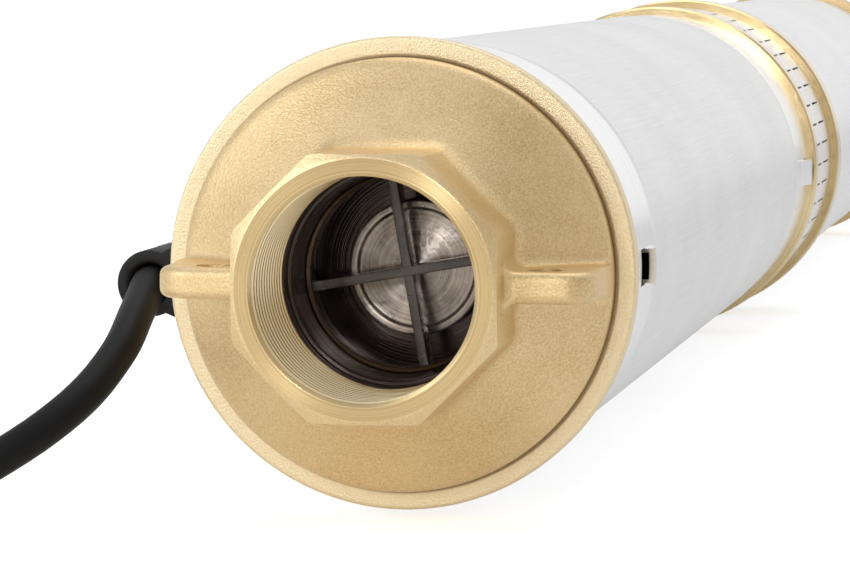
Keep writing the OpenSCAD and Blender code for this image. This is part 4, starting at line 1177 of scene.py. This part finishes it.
def make_poppet():
    """Poppet with a slightly domed disc inside a raised bead, and its stem."""
    face = [(r, POPPET_S + s, corner) for r, s, corner in POPPET_FACE]
    poppet = lathe("poppet", face + [
        (POPPET_R, POPPET_BACK, 0.3), (STEM_R, POPPET_BACK, 0.1), (STEM_R, STEM_END, 0.5),
        (POLE_R, STEM_END, 0)], "poppet", "turned_poppet", 120, 3.0)
    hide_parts("valve_poppet")


make_head()
make_thread()
make_cage()
make_ribs()
make_poppet()


# Cable holder

def saddle_outline(t):
    """Distance from the cable's line to the saddle's edge at each angle t, with 0 away from the pump.

    It is a ring round the cable, widened to two straight sides and cut off by the sleeve underneath.
    """
    foot_r = SLEEVE_R + HOLDER_GAP
    half = SADDLE_W / 2
    outline = np.full(t.shape, HOLDER_RING_R)
    side = np.array([(-2.5, HOLDER_RING_R - 0.8), (foot_r - CABLE_LINE_R - 1.0, half)])
    for sign in (1, -1):
        a, b = side * (1, sign)
        way = b - a
        cross = np.cos(t) * way[1] - np.sin(t) * way[0]
        reach = (a[0] * way[1] - a[1] * way[0]) / np.where(np.abs(cross) < 1e-9, 1e-9, cross)
        on_x, on_y = reach * np.cos(t), reach * np.sin(t)
        inside = (reach > 0) & (on_x <= a[0] + 1e-6) & (on_x >= b[0] - 1e-6) & (on_y * sign > 0)
        outline = np.where(inside, np.maximum(outline, reach), outline)
    drop = CABLE_LINE_R * np.cos(t)
    under = drop ** 2 - (CABLE_LINE_R ** 2 - foot_r ** 2)
    meets = (np.cos(t) < 0) & (under > 0)
    to_sleeve = np.where(meets, -drop - np.sqrt(np.maximum(under, 0)), SADDLE_REACH)
    low = np.minimum(to_sleeve, SADDLE_REACH)
    below = np.cos(t) < SADDLE_SPAN
    wide = np.where(np.abs(low * np.sin(t)) <= half, np.maximum(low, outline), outline)
    return np.where(below, np.minimum(wide, low), outline)


def make_holder():
    """Rubber saddle round the cable: its outline and its hole, both read by angle, are carried along the
    pump, with rounded front and back edges."""
    t = round_angles(180)
    outline = saddle_outline(t)
    hole = np.full(t.shape, HOLDER_HOLE_R)
    edge = [(HOLDER_EDGE * (math.sin(a) - 1), HOLDER_EDGE * (1 - math.cos(a))) for a in arc(0, 90, 5)]
    rows = [(outline + grow, s) for grow, s in edge]
    rows += [(outline, HOLDER_LEN * f) for f in (0.25, 0.5, 0.75)]
    rows += [(outline + grow, HOLDER_LEN - s) for grow, s in edge[::-1]]
    rows += [(hole, HOLDER_LEN * f) for f in (1, 0.6, 0.3)]
    rows += [(hole + grow, s) for grow, s in ((0, 1.0), (0.3, 0.3), (0.9, 0.0))]
    centre = math.radians(180 + CABLE_DROP)
    grid = []
    for r, s in rows:
        x, y = CABLE_LINE_R + r * np.cos(t), r * np.sin(t)
        grid.append(np.stack([x * math.cos(centre) - y * math.sin(centre), np.full(t.shape, HOLDER_S + s),
                              x * math.sin(centre) + y * math.cos(centre)], -1))
    holder = make_piece("lead_holder", np.array(grid), "casing", "black_rubber", sharp=50)
    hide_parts("cable_holder")


make_holder()


# Floor and light

def make_floor():
    """A wide pale floor that keeps the pump's shadow and looks white to the camera.

    In reflections it glows with painted light, darker at the right and warmer in front.
    """
    z = FLOOR_Z * MM - FLOOR_GAP
    corners = [(x * FLOOR_SIZE, y * FLOOR_SIZE, z) for x, y in ((-1, -1), (1, -1), (1, 1), (-1, 1))]
    mesh = bpy.data.meshes.new("floor")
    mesh.from_pydata(corners, [], [(0, 1, 2, 3)])
    material = bpy.data.materials.new("pale_floor")
    material.use_nodes = True
    tree = material.node_tree
    shader = tree.nodes["Principled BSDF"]
    shader.inputs["Base Color"].default_value = FLOOR_COLOUR
    shader.inputs["Roughness"].default_value = 0.9
    shader.inputs["Specular IOR Level"].default_value = 0.1
    glow = add(tree, "ShaderNodeEmission")
    rays = add(tree, "ShaderNodeLightPath").outputs
    x, y, _ = split(tree, add(tree, "ShaderNodeTexCoord").outputs["Object"])
    # Painted light: the floor glows in reflections, brighter at the left than at the right and warm in
    # front
    mirrored = times(tree, rays["Is Glossy Ray"], spread(tree, x, -0.1, 0.1, FLOOR_LEFT, FLOOR_RIGHT))
    direct = times(tree, rays["Is Camera Ray"], FLOOR_SEEN)
    warm = times(tree, rays["Is Glossy Ray"], spread(tree, y, -0.02, 0.08, 1, 0))
    tree.links.new(colour_mix(tree, warm, WHITE, FLOOR_WARM), glow.inputs["Color"])
    tree.links.new(plus(tree, mirrored, direct), glow.inputs["Strength"])
    both = add(tree, "ShaderNodeAddShader")
    tree.links.new(shader.outputs[0], both.inputs[0])
    tree.links.new(glow.outputs[0], both.inputs[1])
    tree.links.new(both.outputs[0], tree.nodes["Material Output"].inputs["Surface"])
    mesh.materials.append(material)
    floor = new_object("floor", mesh)


def make_world():
    """White surroundings for the camera and a softer fill.

    Reflections see a sky that dims towards its top, a white card behind and a warm card at the front right.
    """
    world = bpy.data.worlds.new("studio")
    bpy.context.scene.world = world
    world.use_nodes = True
    tree = world.node_tree
    rays = add(tree, "ShaderNodeLightPath").outputs
    place = add(tree, "ShaderNodeTexCoord").outputs["Generated"]

    def towards(way):
        node = add(tree, "ShaderNodeVectorMath", operation="DOT_PRODUCT")
        tree.links.new(place, node.inputs[0])
        node.inputs[1].default_value = way
        return node.outputs["Value"]

    high = spread(tree, split(tree, place)[2], 0.15, 0.95, 0, 1)
    behind = spread(tree, towards(WHITE_CARD_WAY), 0.965, 0.995, 0, 1)
    at_right = spread(tree, towards(WARM_CARD_WAY), 0.25, 0.95, 0, 1)
    mirrored = colour_mix(tree, high, SKY_LOW, SKY_HIGH)
    mirrored = colour_mix(tree, behind, mirrored, WHITE)
    mirrored = colour_mix(tree, at_right, mirrored, WARM_CARD)
    soft = colour_mix(tree, rays["Is Glossy Ray"], SOFT_FILL, mirrored)
    seen = math_node(tree, "MAXIMUM", rays["Is Camera Ray"], rays["Is Transmission Ray"])
    tree.links.new(colour_mix(tree, seen, soft, WHITE), tree.nodes["Background"].inputs["Color"])


def make_lamp(name, at, towards, side, power):
    """A soft square lamp that faces a point."""
    data = bpy.data.lights.new(name, "AREA")
    data.shape = "SQUARE"
    data.size = side
    data.energy = power
    lamp = new_object(name, data)
    away = np.array(at) - np.array(towards)
    flat = math.hypot(away[0], away[1])
    lamp.location = at
    lamp.rotation_euler = (math.atan2(flat, away[2]), 0, math.atan2(away[0], -away[1]))


make_floor()
make_world()
for lamp_name, lamp_values in LAMPS.items():
    make_lamp(lamp_name, *lamp_values)
bpy.context.scene.view_settings.view_transform = "Standard"
